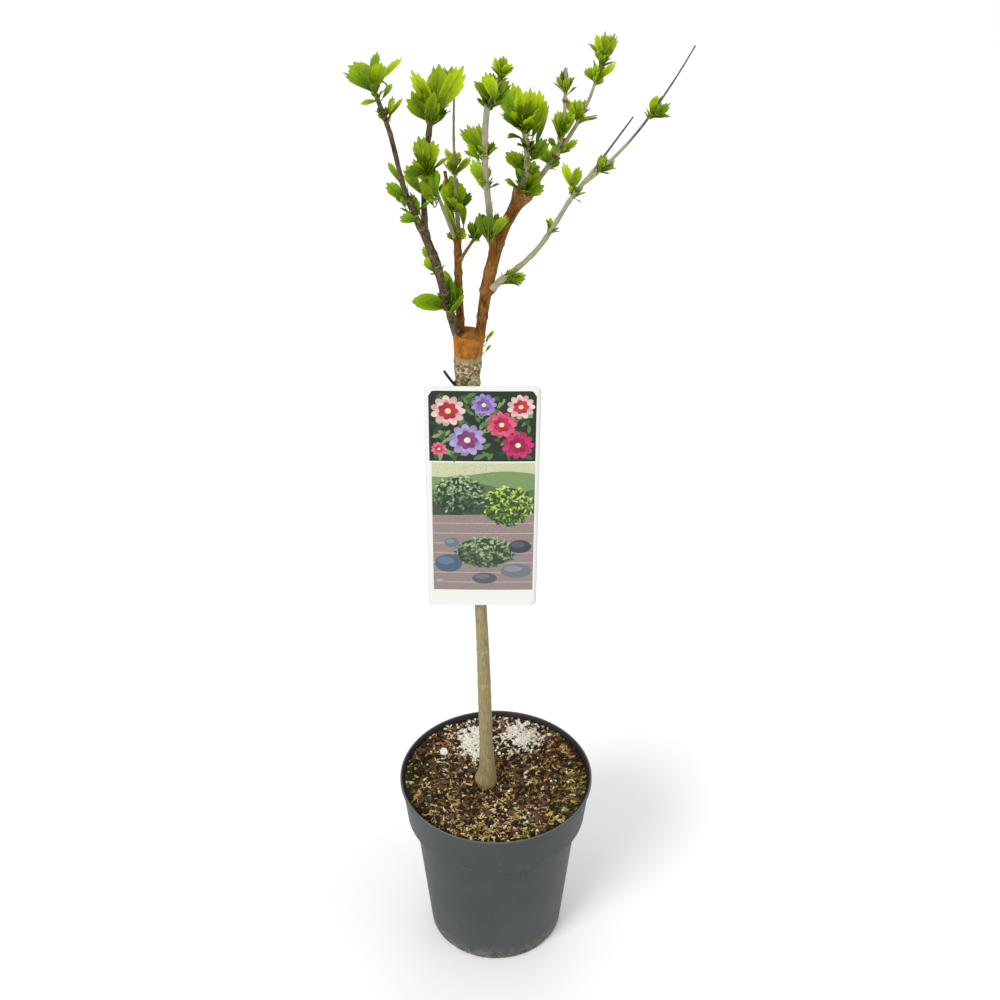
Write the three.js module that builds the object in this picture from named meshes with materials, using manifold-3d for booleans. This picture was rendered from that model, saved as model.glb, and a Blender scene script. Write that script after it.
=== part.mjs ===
// A young hibiscus shrub grown as a short standard, in its nursery pot: one straight stem, a
// grafted head with three main limbs, their shoots and twigs, and a mass for each tuft of leaves.
// Millimetres, +Z up. The origin is the centre of the pot's flat underside.
import * as THREE from "three";
import { mergeVertices } from "three/addons/utils/BufferGeometryUtils.js";
import Module from "manifold-3d";

const wasm = await Module();
wasm.setup();

// ---------- driving dimensions ----------

const GAP = 0.3; // left between pieces that touch
const ROUND_SIDES = 40; // facets round the pot and the compost

const POT = {
  height: 194,
  rimRadius: 95,
  rimBead: 3.4, // height of the bead round the mouth
  beadSlope: 1, // height of the slope from the bead in to the collar
  collarTopRadius: 93.2,
  collarFootRadius: 88.7,
  collarFootHeight: 148,
  shoulder: 8, // height of the slope from the collar down to the body
  bodyTopRadius: 80.7,
  footRadius: 67.4,
  footRound: 1.6,
  wall: 2.1,
};

// The compost's top is a shallow dish, flat in the middle.
const COMPOST = { middleBelowRim: 14, edgeBelowRim: 7, flatRadius: 26 };

// The foot of the stem, where it leaves the compost.
const STEM_FOOT = new THREE.Vector3(-8, 0, POT.height - COMPOST.middleBelowRim + GAP);

const LABEL = {
  width: 93.5,
  height: 223,
  thickness: 0.8,
  corner: 5,
  cornerSteps: 5,
  centre: new THREE.Vector3(-11.7, -12.2, 524.5),
  tiltDegrees: -0.7, // in its own plane, the top edge towards -X
};

const TIE = {
  height: 632, // where it goes round the stem
  wireRadius: 1.2,
  wireSides: 6,
  ringSteps: 16,
  slack: 0.5, // between the wire and the bark
  tailLength: 22,
  tailRight: -28, // degrees from upright
  tailBack: -18,
  tailFoot: 215, // degrees round the ring from +X
  pad: { width: 9, height: 10 }, // the flat knot that the card hangs on
};

// Colour, roughness and metalness of each kind of surface.
const FINISH = {
  pot: [0x4f5455, 0.62],
  compost: [0x4a3018, 0.95],
  stemBark: [0x96906a, 0.8],
  darkBark: [0x6e5f46, 0.82],
  redBark: [0x96591f, 0.75],
  greyBark: [0xa3a286, 0.75],
  tanBark: [0xa39478, 0.75],
  leaf: [0x7da516, 0.55],
  card: [0xf1f1ea, 0.4],
  tie: [0x151515, 0.5],
};

// Each limb springs from another, `at` 0 to 1 of the way along it, moved aside by `shift`. It
// leans `right` (to +X) and `back` (to +Y) by these degrees from upright, at even steps, and
// `radius` gives its radii at even steps from its foot to its tip.
const LIMBS = {
  trunk: {
    length: 499,
    right: [-2, -1, -2, -2, -5, 5],
    back: [0],
    radius: [9.6, 6.5, 6.6, 6.2, 5.7, 5.6, 5.6, 5.8, 6.4, 7.8, 13],
    rings: 18,
    sides: 12,
    bark: "stemBark",
  },
  left_limb: {
    from: "trunk",
    at: 1,
    shift: [-9, -1.5, -1.5],
    length: 221,
    right: [-14, -11, -23, -7, -19],
    back: [-9, -13],
    radius: [3.7, 3.5, 3.6, 3.9, 3.5, 2.4, 2.1, 1.9, 1.9, 1.7],
    rings: 15,
    bark: "darkBark",
  },
  left_inner_limb: {
    from: "left_limb",
    at: 0.43,
    length: 88,
    right: [-8, 4, 10],
    back: [24, 21],
    radius: [2.7, 2.3, 2.2, 2.4],
    bark: "darkBark",
  },
  centre_limb: {
    from: "trunk",
    at: 1,
    shift: [-4, 3, -36],
    length: 112,
    right: [-4, 0],
    back: [6],
    radius: [3.6, 3.6, 3.3, 3.2],
    bark: "redBark",
  },
  centre_twig_side: {
    from: "centre_limb",
    at: 0.83,
    length: 32,
    right: [27],
    back: [-26],
    radius: [2.2, 1.2, 0.9],
    bark: "redBark",
  },
  centre_twig_left: {
    from: "centre_limb",
    at: 1,
    shift: [-1.5, -1.5, 0],
    length: 73,
    right: [-15, -16],
    back: [-23],
    radius: [1.6, 1.5, 1.4],
    bark: "greyBark",
  },
  centre_twig_cut: {
    from: "centre_limb",
    at: 1,
    shift: [-1, 1.8, 0],
    length: 54,
    right: [-10],
    back: [20],
    radius: [1.6, 1.6, 1.5],
    bark: "redBark",
  },
  centre_twig_tall: {
    from: "centre_limb",
    at: 1,
    shift: [1.6, -0.2, 0],
    length: 110,
    right: [-6, 2],
    back: [18],
    radius: [1.9, 1.7, 1.5, 1.1, 1, 0.9],
    rings: 10,
    bark: "tanBark",
  },
  right_limb: {
    from: "trunk",
    at: 1,
    shift: [5, -4, -33],
    length: 154,
    right: [9, 7, 16, 33],
    back: [7],
    radius: [4.3, 4.3, 4.5, 5.4, 5.1, 4.4, 6],
    rings: 12,
    sides: 10,
    bark: "redBark",
  },
  grey_shoot: {
    from: "right_limb",
    at: 0.63,
    length: 152,
    right: [-3, -5, 6],
    back: [-21],
    radius: [3, 2.6, 2.5, 2.4],
    rings: 9,
    bark: "greyBark",
  },
  grey_twig: {
    from: "grey_shoot",
    at: 0.99,
    length: 29,
    right: [21],
    back: [-22],
    radius: [1.6, 1.1],
    rings: 3,
    bark: "tanBark",
  },
  upright_shoot: {
    from: "right_limb",
    at: 1,
    shift: [-1.5, -2.5, 0],
    length: 59,
    right: [16, -10],
    back: [-18],
    radius: [3, 2.4, 2.3, 2.3],
    bark: "tanBark",
  },
  tan_branch: {
    from: "right_limb",
    at: 0.98,
    shift: [2.5, 2.5, 0],
    length: 123,
    right: [47, 38, 16],
    back: [34],
    radius: [2.7, 2.3, 1.9, 1.6, 1.3, 1.1],
    rings: 9,
    bark: "tanBark",
  },
  tan_twig: {
    from: "tan_branch",
    at: 0.34,
    length: 69,
    right: [27, -2, 5],
    back: [28],
    radius: [1.5, 1.4, 1.4, 0.8, 0.6],
    bark: "tanBark",
  },
  low_branch: {
    from: "right_limb",
    at: 0.45,
    length: 153,
    right: [45, 44, 26, 23, 39],
    back: [-23],
    radius: [3.4, 2.5, 2.1, 2, 1.8, 1.8],
    rings: 13,
    bark: "greyBark",
  },
  low_twig_bare: {
    from: "low_branch",
    at: 1,
    shift: [-1, 0.3, 0],
    length: 58,
    right: [29],
    back: [-21],
    radius: [1.1, 0.8, 0.6],
    bark: "greyBark",
  },
  low_twig_long: {
    from: "low_branch",
    at: 0.94,
    shift: [0.8, -0.3, 0],
    length: 144,
    right: [45, 27, 21],
    back: [-25],
    radius: [1.5, 1.3, 1, 0.8, 0.6, 0.5],
    rings: 9,
    bark: "greyBark",
  },
};

// Each mass of leaves opens from a limb, `at` 0 to 1 of the way along it, and leans as a limb
// does. `lobes` is the number of leaves that stand out round it.
const LEAVES = {
  left_tip: { from: "left_limb", at: 1, right: -4, back: -12, length: 38, width: 40, lobes: 6 },
  left_tip_side: { from: "left_limb", at: 0.91, right: 25, back: 5, length: 20, width: 13, lobes: 4 },
  left_inner: { from: "left_limb", at: 0.52, right: -5, back: 20, length: 19, width: 10, lobes: 4 },
  left_outer: { from: "left_limb", at: 0.58, right: -35, back: -25, length: 25, width: 12, lobes: 4 },
  left_low_up: { from: "left_limb", at: 0.1, right: 2, back: -20, length: 46, width: 20, lobes: 4 },
  left_low_side: { from: "left_limb", at: 0.13, right: -73, back: -5, length: 28, width: 13, lobes: 3 },
  left_back_small: { from: "left_limb", at: 0.28, right: -30, back: 15, length: 23, width: 9, lobes: 4 },
  inner_tip: { from: "left_inner_limb", at: 1, right: 8, back: 8, length: 47, width: 49, lobes: 7 },
  twig_left_tip: { from: "centre_twig_left", at: 1, right: -2, back: -14, length: 32, width: 29, lobes: 5 },
  twig_left_low: { from: "centre_twig_left", at: 0.71, right: -32, back: -20, length: 32, width: 27, lobes: 5 },
  tall_middle: { from: "centre_twig_tall", at: 0.47, right: 6, back: 15, length: 21, width: 22, lobes: 5 },
  tall_low: { from: "centre_twig_tall", at: 0.2, right: -6, back: -10, length: 29, width: 21, lobes: 5 },
  centre_collar: { from: "centre_limb", at: 1, right: 2, back: 0, length: 15, width: 17, lobes: 5 },
  side_twig_tip: { from: "centre_twig_side", at: 0.99, right: 5, back: -15, length: 23, width: 13, lobes: 4 },
  grey_foot: { from: "grey_shoot", at: 0.12, right: -3, back: -10, length: 28, width: 21, lobes: 5 },
  grey_low: { from: "grey_shoot", at: 0.47, right: -15, back: -25, length: 30, width: 15, lobes: 4 },
  grey_middle: { from: "grey_shoot", at: 0.67, right: -21, back: -15, length: 35, width: 20, lobes: 5 },
  grey_top: { from: "grey_shoot", at: 1, right: 3, back: -15, length: 28, width: 22, lobes: 5 },
  grey_tip: { from: "grey_twig", at: 1, right: 1, back: -15, length: 18, width: 15, lobes: 4 },
  upright_top: { from: "upright_shoot", at: 1, right: -3, back: -5, length: 40, width: 33, lobes: 6 },
  upright_right: { from: "upright_shoot", at: 0.73, right: 21, back: 15, length: 30, width: 13, lobes: 4 },
  upright_left: { from: "upright_shoot", at: 0.37, right: -28, back: -20, length: 25, width: 13, lobes: 4 },
  upright_foot: { from: "upright_shoot", at: 0.09, right: 28, back: -20, length: 27, width: 17, lobes: 4 },
  tan_low: { from: "tan_branch", at: 0.27, right: 3, back: 30, length: 23, width: 18, lobes: 5 },
  tan_low_side: { from: "tan_branch", at: 0.37, right: 64, back: 20, length: 16, width: 7, lobes: 3 },
  tan_middle: { from: "tan_branch", at: 0.6, right: -4, back: 25, length: 18, width: 18, lobes: 5 },
  tan_high: { from: "tan_branch", at: 0.88, right: 17, back: 20, length: 15, width: 24, lobes: 5 },
  tan_tip: { from: "tan_branch", at: 1, right: 11, back: 15, length: 24, width: 20, lobes: 5 },
  twig_foot: { from: "tan_twig", at: 0.16, right: 11, back: 25, length: 22, width: 18, lobes: 5 },
  twig_middle: { from: "tan_twig", at: 0.7, right: -5, back: 20, length: 17, width: 12, lobes: 4 },
  low_bud: { from: "low_branch", at: 0.54, right: 1, back: -10, length: 13, width: 5, lobes: 3 },
  low_foot: { from: "low_branch", at: 0.11, right: 72, back: -15, length: 18, width: 9, lobes: 3 },
  low_middle: { from: "low_branch", at: 0.81, right: -3, back: -15, length: 28, width: 16, lobes: 4 },
  low_fork: { from: "low_twig_long", at: 0.11, right: 22, back: -15, length: 15, width: 15, lobes: 4 },
  low_far: { from: "low_twig_long", at: 0.53, right: 23, back: -15, length: 18, width: 14, lobes: 4 },
};

// How a leaf mass is shaped: it opens like a fan, and its rim is notched between the leaves.
const LEAF_MASS = {
  heightSteps: 4,
  outline: [0.15, 0.5, 0.85, 1, 0.9], // how wide it is at even steps from foot to rim
  notch: 0.2, // depth of the dips between the lobes, over the radius
  crown: 0.9, // height of the middle, over the length
  crest: 0.06, // rise of each lobe and fall of each dip, over the length
  uneven: 0.08, // random part of each radius
};

// ---------- helpers ----------

const MERGE_WITHIN = 1e-4; // vertices nearer than this are one
const POLE = 0.999; // height on a unit ball from which a vertex counts as its pole

const { degToRad, lerp } = THREE.MathUtils;

// A closed geometry with shared vertices and no empty triangles.
function closed(geometry) {
  const bare = geometry.clone();
  bare.deleteAttribute("normal");
  bare.deleteAttribute("uv");
  const merged = mergeVertices(bare, MERGE_WITHIN);
  const corners = merged.index.array;
  const kept = [];
  for (let i = 0; i < corners.length; i += 3) {
    const [a, b, c] = [corners[i], corners[i + 1], corners[i + 2]];
    if (a !== b && b !== c && c !== a) {
      kept.push(a, b, c);
    }
  }
  merged.setIndex(kept);
  return merged;
}

function toSolid(geometry) {
  const mesh = closed(geometry);
  return new wasm.Manifold(
    new wasm.Mesh({
      numProp: 3,
      vertProperties: Float32Array.from(mesh.attributes.position.array),
      triVerts: Uint32Array.from(mesh.index.array),
    }),
  );
}

function toGeometry(solid) {
  const cut = solid.getMesh();
  const geometry = new THREE.BufferGeometry();
  geometry.setAttribute("position", new THREE.BufferAttribute(cut.vertProperties, 3));
  geometry.setIndex(new THREE.BufferAttribute(cut.triVerts, 1));
  geometry.computeVertexNormals();
  return geometry;
}

// The solid less each cutter that reaches it. Where that leaves crumbs, the largest piece.
function cutBy(solid, cutters) {
  let rest = solid;
  for (const cutter of cutters) {
    rest = rest.subtract(cutter);
  }
  const pieces = rest.decompose();
  pieces.sort((a, b) => b.volume() - a.volume());
  return pieces[0];
}

function finished(name, geometry, finish) {
  const [color, roughness] = FINISH[finish];
  const material = new THREE.MeshStandardMaterial({ color, roughness, metalness: 0 });
  const mesh = new THREE.Mesh(geometry, material);
  mesh.name = name;
  return mesh;
}

// The value of an evenly spaced list at `place` from 0 to 1.
function along(list, place) {
  const step = place * (list.length - 1);
  const low = Math.min(Math.floor(step), Math.max(list.length - 2, 0));
  return lerp(list[low], list[Math.min(low + 1, list.length - 1)], step - low);
}

// Unit direction of something that leans right and back from upright.
function leaning(right, back) {
  const slope = new THREE.Vector3(Math.tan(degToRad(right)), Math.tan(degToRad(back)), 1);
  return slope.normalize();
}

function lathe(profile) {
  const points = profile.map(([radius, height]) => new THREE.Vector2(radius, height));
  return new THREE.LatheGeometry(points, ROUND_SIDES).rotateX(Math.PI / 2);
}

// Numbers from 0 to 1 that are the same on every run.
function seeded(seed) {
  let state = seed;
  return () => {
    state = (Math.imul(state, 1664525) + 1013904223) >>> 0;
    return state / 2 ** 32;
  };
}

// ---------- pot and compost ----------

const bodyTop = POT.collarFootHeight - POT.shoulder;

// Radius and height down the pot's outside, from the mouth's bead to the foot.
const OUTSIDE = [
  [POT.rimRadius, POT.height],
  [POT.rimRadius, POT.height - POT.rimBead],
  [POT.collarTopRadius, POT.height - POT.rimBead - POT.beadSlope],
  [POT.collarFootRadius, POT.collarFootHeight],
  [POT.bodyTopRadius, bodyTop],
  [POT.footRadius, POT.footRound],
];

// Radius and height up the pot's inside, from its floor to the mouth.
const INSIDE = [
  [POT.footRadius - POT.wall, POT.wall],
  [POT.bodyTopRadius - POT.wall, bodyTop + POT.wall / 2],
  [POT.collarFootRadius - POT.wall, POT.collarFootHeight + POT.wall / 2],
  [POT.collarTopRadius - POT.wall, POT.height],
];

function pot() {
  const floor = [
    [0, 0],
    [POT.footRadius - POT.footRound, 0],
  ];
  const profile = [...floor, ...OUTSIDE.toReversed(), ...INSIDE.toReversed(), [0, POT.wall]];
  return finished("pot", closed(lathe(profile)), "pot");
}

function compost() {
  const [middle, edge] = [POT.height - COMPOST.middleBelowRim, POT.height - COMPOST.edgeBelowRim];
  const [lower, upper] = INSIDE.slice(-2);
  const share = (edge - lower[1]) / (upper[1] - lower[1]);
  const edgeRadius = lerp(lower[0], upper[0], share);
  const wallSide = [...INSIDE.slice(0, -1), [edgeRadius, edge]];
  const floorHeight = POT.wall + GAP;
  const profile = [[0, floorHeight]];
  for (const [radius, height] of wallSide) {
    profile.push([radius - GAP, Math.max(height, floorHeight)]);
  }
  profile.push([COMPOST.flatRadius, middle], [0, middle]);
  return finished("compost", closed(lathe(profile)), "compost");
}

// ---------- limbs ----------

const CURVE_STEPS = 24;
const curves = {}; // centreline of each limb, measured from the stem's foot

function centreline(limb) {
  const start = new THREE.Vector3();
  if (limb.from) {
    start.copy(curves[limb.from].getPointAt(limb.at));
  }
  if (limb.shift) {
    start.add(new THREE.Vector3(...limb.shift));
  }
  const points = [start];
  for (let i = 0; i < CURVE_STEPS; i += 1) {
    const place = (i + 0.5) / CURVE_STEPS;
    const step = leaning(along(limb.right, place), along(limb.back, place));
    points.push(points.at(-1).clone().addScaledVector(step, limb.length / CURVE_STEPS));
  }
  return new THREE.CatmullRomCurve3(points);
}

// A tapering tube along the limb's centreline, `grow` larger all round and at both ends.
function limbSolid(name, grow = 0) {
  const { radius, rings = 6, sides = 8 } = LIMBS[name];
  const curve = curves[name];
  const frames = curve.computeFrenetFrames(rings);
  const tube = new THREE.CylinderGeometry(1, 1, 1, sides, rings);
  const spot = tube.attributes.position;
  for (let i = 0; i < spot.count; i += 1) {
    const ring = Math.round((spot.getY(i) + 0.5) * rings);
    const place = ring / rings;
    const size = along(radius, place) + grow;
    const point = curve.getPointAt(place);
    point.addScaledVector(frames.normals[ring], spot.getX(i) * size);
    point.addScaledVector(frames.binormals[ring], -spot.getZ(i) * size);
    if (ring === 0) {
      point.addScaledVector(frames.tangents[0], -grow);
    }
    if (ring === rings) {
      point.addScaledVector(frames.tangents[rings], grow);
    }
    spot.setXYZ(i, point.x, point.y, point.z);
  }
  return toSolid(tube);
}

// ---------- leaf masses ----------

function leafSolid(leaf, seed, grow = 0) {
  const random = seeded(seed);
  const around = 2 * leaf.lobes;
  const ball = closed(new THREE.SphereGeometry(1, around, LEAF_MASS.heightSteps));
  ball.rotateX(Math.PI / 2);
  const spot = ball.attributes.position;
  for (let i = 0; i < spot.count; i += 1) {
    const rise = (spot.getZ(i) + 1) / 2;
    const turn = Math.atan2(spot.getY(i), spot.getX(i));
    const lobe = Math.cos(turn * leaf.lobes);
    const onAxis = Math.abs(spot.getZ(i)) > POLE;
    const spread = onAxis ? 0 : along(LEAF_MASS.outline, rise);
    const chance = 1 + LEAF_MASS.uneven * (2 * random() - 1);
    const out = (leaf.width / 2) * (1 - LEAF_MASS.notch * (1 - lobe) * rise) * chance + grow;
    const crest = LEAF_MASS.crest * lobe * rise * spread;
    const height = (LEAF_MASS.crown * rise + crest) * leaf.length + 2 * grow * (rise - 0.5);
    spot.setXYZ(i, spread * out * Math.cos(turn), spread * out * Math.sin(turn), height);
  }
  const upright = new THREE.Vector3(0, 0, 1);
  const turn = new THREE.Quaternion().setFromUnitVectors(upright, leaning(leaf.right, leaf.back));
  ball.applyQuaternion(turn);
  const foot = curves[leaf.from].getPointAt(leaf.at);
  ball.translate(foot.x, foot.y, foot.z);
  return toSolid(ball);
}

// The limbs and leaves. Each piece is cut to clear those made before it.
function shrub() {
  const plant = new THREE.Group();
  plant.position.copy(STEM_FOOT);
  const cutters = [];
  for (const [name, limb] of Object.entries(LIMBS)) {
    curves[name] = centreline(limb);
    const solid = cutBy(limbSolid(name), cutters);
    cutters.push(limbSolid(name, GAP));
    plant.add(finished(name, toGeometry(solid), limb.bark));
  }
  Object.entries(LEAVES).forEach(([name, leaf], seed) => {
    const solid = cutBy(leafSolid(leaf, seed), cutters);
    cutters.push(leafSolid(leaf, seed, GAP));
    plant.add(finished(`leaves_${name}`, toGeometry(solid), "leaf"));
  });
  return plant;
}

// ---------- label card and its tie ----------

function card() {
  const { width, height, corner, thickness } = LABEL;
  const [x, y] = [width / 2, height / 2];
  const outline = new THREE.Shape();
  outline.moveTo(x, y - corner);
  outline.absarc(x - corner, y - corner, corner, 0, Math.PI / 2, false);
  outline.absarc(corner - x, y - corner, corner, Math.PI / 2, Math.PI, false);
  outline.absarc(corner - x, corner - y, corner, Math.PI, 1.5 * Math.PI, false);
  outline.absarc(x - corner, corner - y, corner, 1.5 * Math.PI, 2 * Math.PI, false);
  const settings = { depth: thickness, bevelEnabled: false, curveSegments: LABEL.cornerSteps };
  const mesh = finished("label_card", closed(new THREE.ExtrudeGeometry(outline, settings)), "card");
  mesh.rotation.x = Math.PI / 2;
  const hung = new THREE.Group();
  hung.position.copy(LABEL.centre);
  hung.rotation.y = degToRad(LABEL.tiltDegrees);
  hung.add(mesh);
  return hung;
}

// A wire ring round the stem, its free end standing up on the left, and the flat knot in front.
function tie() {
  const { wireRadius, wireSides, slack, pad } = TIE;
  const place = (TIE.height - STEM_FOOT.z) / LIMBS.trunk.length;
  const centre = curves.trunk.getPointAt(place);
  const stemRadius = along(LIMBS.trunk.radius, place);
  const ringRadius = stemRadius + slack + wireRadius;
  const ring = new THREE.TorusGeometry(ringRadius, wireRadius, wireSides, TIE.ringSteps);
  const tail = new THREE.CylinderGeometry(wireRadius, wireRadius, TIE.tailLength, wireSides);
  tail.rotateX(Math.PI / 2);
  tail.translate(0, 0, TIE.tailLength / 2);
  const upright = new THREE.Vector3(0, 0, 1);
  const tailLean = leaning(TIE.tailRight, TIE.tailBack);
  tail.applyQuaternion(new THREE.Quaternion().setFromUnitVectors(upright, tailLean));
  const tailFoot = degToRad(TIE.tailFoot);
  tail.translate(ringRadius * Math.cos(tailFoot), ringRadius * Math.sin(tailFoot), 0);
  const cardBack = LABEL.centre.y - STEM_FOOT.y - centre.y;
  const padDepth = -cardBack - ringRadius - GAP;
  const knot = new THREE.BoxGeometry(pad.width, padDepth, pad.height);
  knot.translate(0, cardBack + GAP + padDepth / 2, 0);
  const solid = toSolid(ring).add(toSolid(tail)).add(toSolid(knot));
  const mesh = finished("label_tie", toGeometry(solid), "tie");
  mesh.position.copy(centre).add(STEM_FOOT);
  return mesh;
}

const hibiscus = new THREE.Group();
hibiscus.add(pot(), compost(), shrub(), card(), tie());

export default hibiscus;
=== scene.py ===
# %% [markdown]
# # A young hibiscus standard in its nursery pot
#
# This lesson dresses a plant whose size and structure are already settled in CAD: a pot, a
# straight stem, a forked head of limbs and twigs, and a closed lump for each tuft of leaves.
# Here every lump gives way to real leaves, every limb gets its bark, and the pot, the compost
# and the hanging card get their finish. One unit is one metre, +Z is up, and the origin is the
# middle of the pot's flat underside. Cells can be run in order, like a notebook.

# %% Load the frame
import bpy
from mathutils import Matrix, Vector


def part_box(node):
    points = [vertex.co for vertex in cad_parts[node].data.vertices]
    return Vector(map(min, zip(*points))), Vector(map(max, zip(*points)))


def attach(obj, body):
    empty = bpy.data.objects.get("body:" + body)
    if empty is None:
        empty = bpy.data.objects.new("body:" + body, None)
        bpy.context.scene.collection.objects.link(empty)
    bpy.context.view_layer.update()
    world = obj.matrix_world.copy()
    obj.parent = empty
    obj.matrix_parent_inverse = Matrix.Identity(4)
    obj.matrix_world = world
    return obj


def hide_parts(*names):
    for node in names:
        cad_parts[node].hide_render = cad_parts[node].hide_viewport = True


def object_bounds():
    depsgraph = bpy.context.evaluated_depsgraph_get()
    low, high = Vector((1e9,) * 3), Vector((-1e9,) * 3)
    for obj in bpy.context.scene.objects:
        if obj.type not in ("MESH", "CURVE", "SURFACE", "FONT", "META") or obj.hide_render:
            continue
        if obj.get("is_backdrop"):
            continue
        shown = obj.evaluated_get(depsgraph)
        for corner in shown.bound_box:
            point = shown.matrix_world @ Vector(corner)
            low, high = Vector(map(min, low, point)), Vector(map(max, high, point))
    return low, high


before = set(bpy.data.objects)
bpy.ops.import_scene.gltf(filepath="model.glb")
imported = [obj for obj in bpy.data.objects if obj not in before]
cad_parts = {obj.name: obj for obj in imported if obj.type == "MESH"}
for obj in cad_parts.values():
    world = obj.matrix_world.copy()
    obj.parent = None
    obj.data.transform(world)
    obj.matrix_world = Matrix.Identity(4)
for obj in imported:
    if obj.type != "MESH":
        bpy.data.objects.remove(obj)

cad_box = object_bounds()
print("CAD box:", cad_box)

# %% Imports and units
import math
import random

import bpy
import numpy as np
from mathutils import Vector, noise

MM = 0.001
BODY = "root"

# %% [markdown]
# ## The camera
#
# The plant is looked at from a little above, so that the compost shows inside the rim. A longer
# lens than the eye's keeps the tall stem from looking bent. The small sideways shift sets the
# pot a touch left of the middle, as a shopkeeper would who leaves room for the longest twig.
# The camera is made before the plant, because the tufts are laid out as it sees them.

# %% Camera
LOOKS_DOWN = math.radians(32.75)

camera = bpy.data.objects.new("camera", bpy.data.cameras.new("camera"))
camera.data.sensor_width = 36
camera.data.lens = 54
camera.data.shift_x = 0.004
camera.data.clip_end = 60
camera.location = (0, -1.106, 1.228)
camera.rotation_euler = (math.pi / 2 - LOOKS_DOWN, 0, 0)
bpy.context.scene.collection.objects.link(camera)
bpy.context.scene.camera = camera
print("camera is", round(math.hypot(*camera.location), 3), "m away")

# %% [markdown]
# ## Studio light
#
# Young leaves look fresh in a wide, even light, and small folds need one side brighter than the
# other to be seen. A pale sky does the even part. The key is a sun with a wide disc, as through
# a large window: it lights the far floor as much as the near. Two area lights fill the right
# and the back. Point lights would cast the hard shadow of every twig on the pot.

# %% Lights and sky
world = bpy.data.worlds.new("pale_sky")
world.use_nodes = True
sky = world.node_tree.nodes["Background"]
sky.inputs["Color"].default_value = (1, 1, 1, 1)
sky.inputs["Strength"].default_value = 0.76
bpy.context.scene.world = world
bpy.context.scene.view_settings.view_transform = "Standard"


def studio_light(name, kind, place, aim, energy):
    """A light that points from its place to its aim. energy is in watts, and in W/m2 for a sun."""
    light = bpy.data.objects.new(name, bpy.data.lights.new(name, kind))
    light.data.energy = energy
    light.location = place
    light.rotation_euler = (Vector(place) - Vector(aim)).to_track_quat("Z", "Y").to_euler()
    bpy.context.scene.collection.objects.link(light)
    return light


studio_light("key_light", "SUN", (-1.3, -1.5, 2.3), (0, 0, 0.6), 1.5).data.angle = math.radians(24)
studio_light("side_light", "AREA", (1.8, -0.6, 1.6), (0, 0, 0.5), 4).data.size = 1.2
studio_light("back_light", "AREA", (0.4, 1.9, 2.1), (0, 0, 0.7), 6).data.size = 1.4
print("three lights and a pale sky")

# %% [markdown]
# ## Writing materials as sums
#
# A material here is a small web of nodes. Drawn by hand it is quick to make and slow to read, so
# `Link` wraps the output of a node and lets it stand in a Python sum: `level * 0.5` adds a Math
# node. Colours don't go through Math, which would turn them grey, but through a Mix node.
# `Paint.node` makes every other kind: its settings come first, then the values of its sockets.

# %% Links that can be added up
class Link:
    """A node's output that can stand in a sum, which adds the Math nodes for it."""

    def __init__(self, paint, socket):
        self.paint = paint
        self.socket = socket

    def math(self, operation, *values):
        sockets = dict(enumerate(values))
        return self.paint.node("ShaderNodeMath", {"operation": operation}, sockets)

    def __add__(self, other):
        return self.math("ADD", self, other)

    __radd__ = __add__

    def __sub__(self, other):
        return self.math("SUBTRACT", self, other)

    def __rsub__(self, other):
        return self.math("SUBTRACT", other, self)

    def __mul__(self, other):
        return self.math("MULTIPLY", self, other)

    __rmul__ = __mul__


# %% Paint, which adds any node
class Paint:
    """A material and its nodes."""

    def __init__(self, name, roughness, shine=0.5):
        self.material = bpy.data.materials.new(name)
        self.material.use_nodes = True
        self.tree = self.material.node_tree
        self.surface = self.tree.nodes["Principled BSDF"]
        self.surface.inputs["Roughness"].default_value = roughness
        self.surface.inputs["Specular IOR Level"].default_value = shine

    def feed(self, socket, value):
        if isinstance(value, Link):
            self.tree.links.new(value.socket, socket)
        elif socket.type == "RGBA":
            socket.default_value = (*value, 1)
        else:
            socket.default_value = value

    def node(self, kind, settings, sockets, out=0):
        made = self.tree.nodes.new(kind)
        for name, value in settings.items():
            setattr(made, name, value)
        for name, value in sockets.items():
            self.feed(made.inputs[name], value)
        return Link(self, made.outputs[out])

    def set(self, socket, value):
        self.feed(self.surface.inputs[socket], value)


# %% Everyday nodes
def srgb(red, green, blue):
    """A colour as painters pick it, 0 to 255, in the linear light that nodes want."""
    return tuple(((v / 255 + 0.055) / 1.055) ** 2.4 for v in (red, green, blue))


def own_place(paint):
    """The point's place on the object, in metres."""
    return paint.node("ShaderNodeTexCoord", {}, {}, out=3)


def field(paint, name, out=2):
    """A value kept for each point of the mesh: out is 1 for a vector and 2 for a number."""
    return paint.node("ShaderNodeAttribute", {"attribute_name": name}, {}, out=out)


def cloud(place, scale, detail=2.0, rough=0.5, stretch=None):
    """Soft noise from 0 to 1 with patches about 1 / scale metres across. stretch multiplies the
    place first, so a small number there draws the patches out."""
    paint = place.paint
    if stretch:
        place = paint.node("ShaderNodeVectorMath", {"operation": "MULTIPLY"}, {0: place, 1: stretch})
    sockets = {"Vector": place, "Scale": scale, "Detail": detail, "Roughness": rough}
    return paint.node("ShaderNodeTexNoise", {}, sockets)


def between(value, low, high):
    """0 below low, 1 above high, and a smooth slope between them."""
    settings = {"interpolation_type": "SMOOTHSTEP"}
    return value.paint.node("ShaderNodeMapRange", settings, {0: value, 1: low, 2: high})


def mixed(share, first, second):
    """The first colour where share is 0, and the second where it is 1."""
    sockets = {0: share, 6: first, 7: second}
    return share.paint.node("ShaderNodeMix", {"data_type": "RGBA"}, sockets, out=2)


def bumped(height, depth):
    """Shades the surface as if it stood out by height times depth, in metres."""
    paint = height.paint
    paint.set("Normal", paint.node("ShaderNodeBump", {}, {"Height": height, "Distance": depth}))


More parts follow.
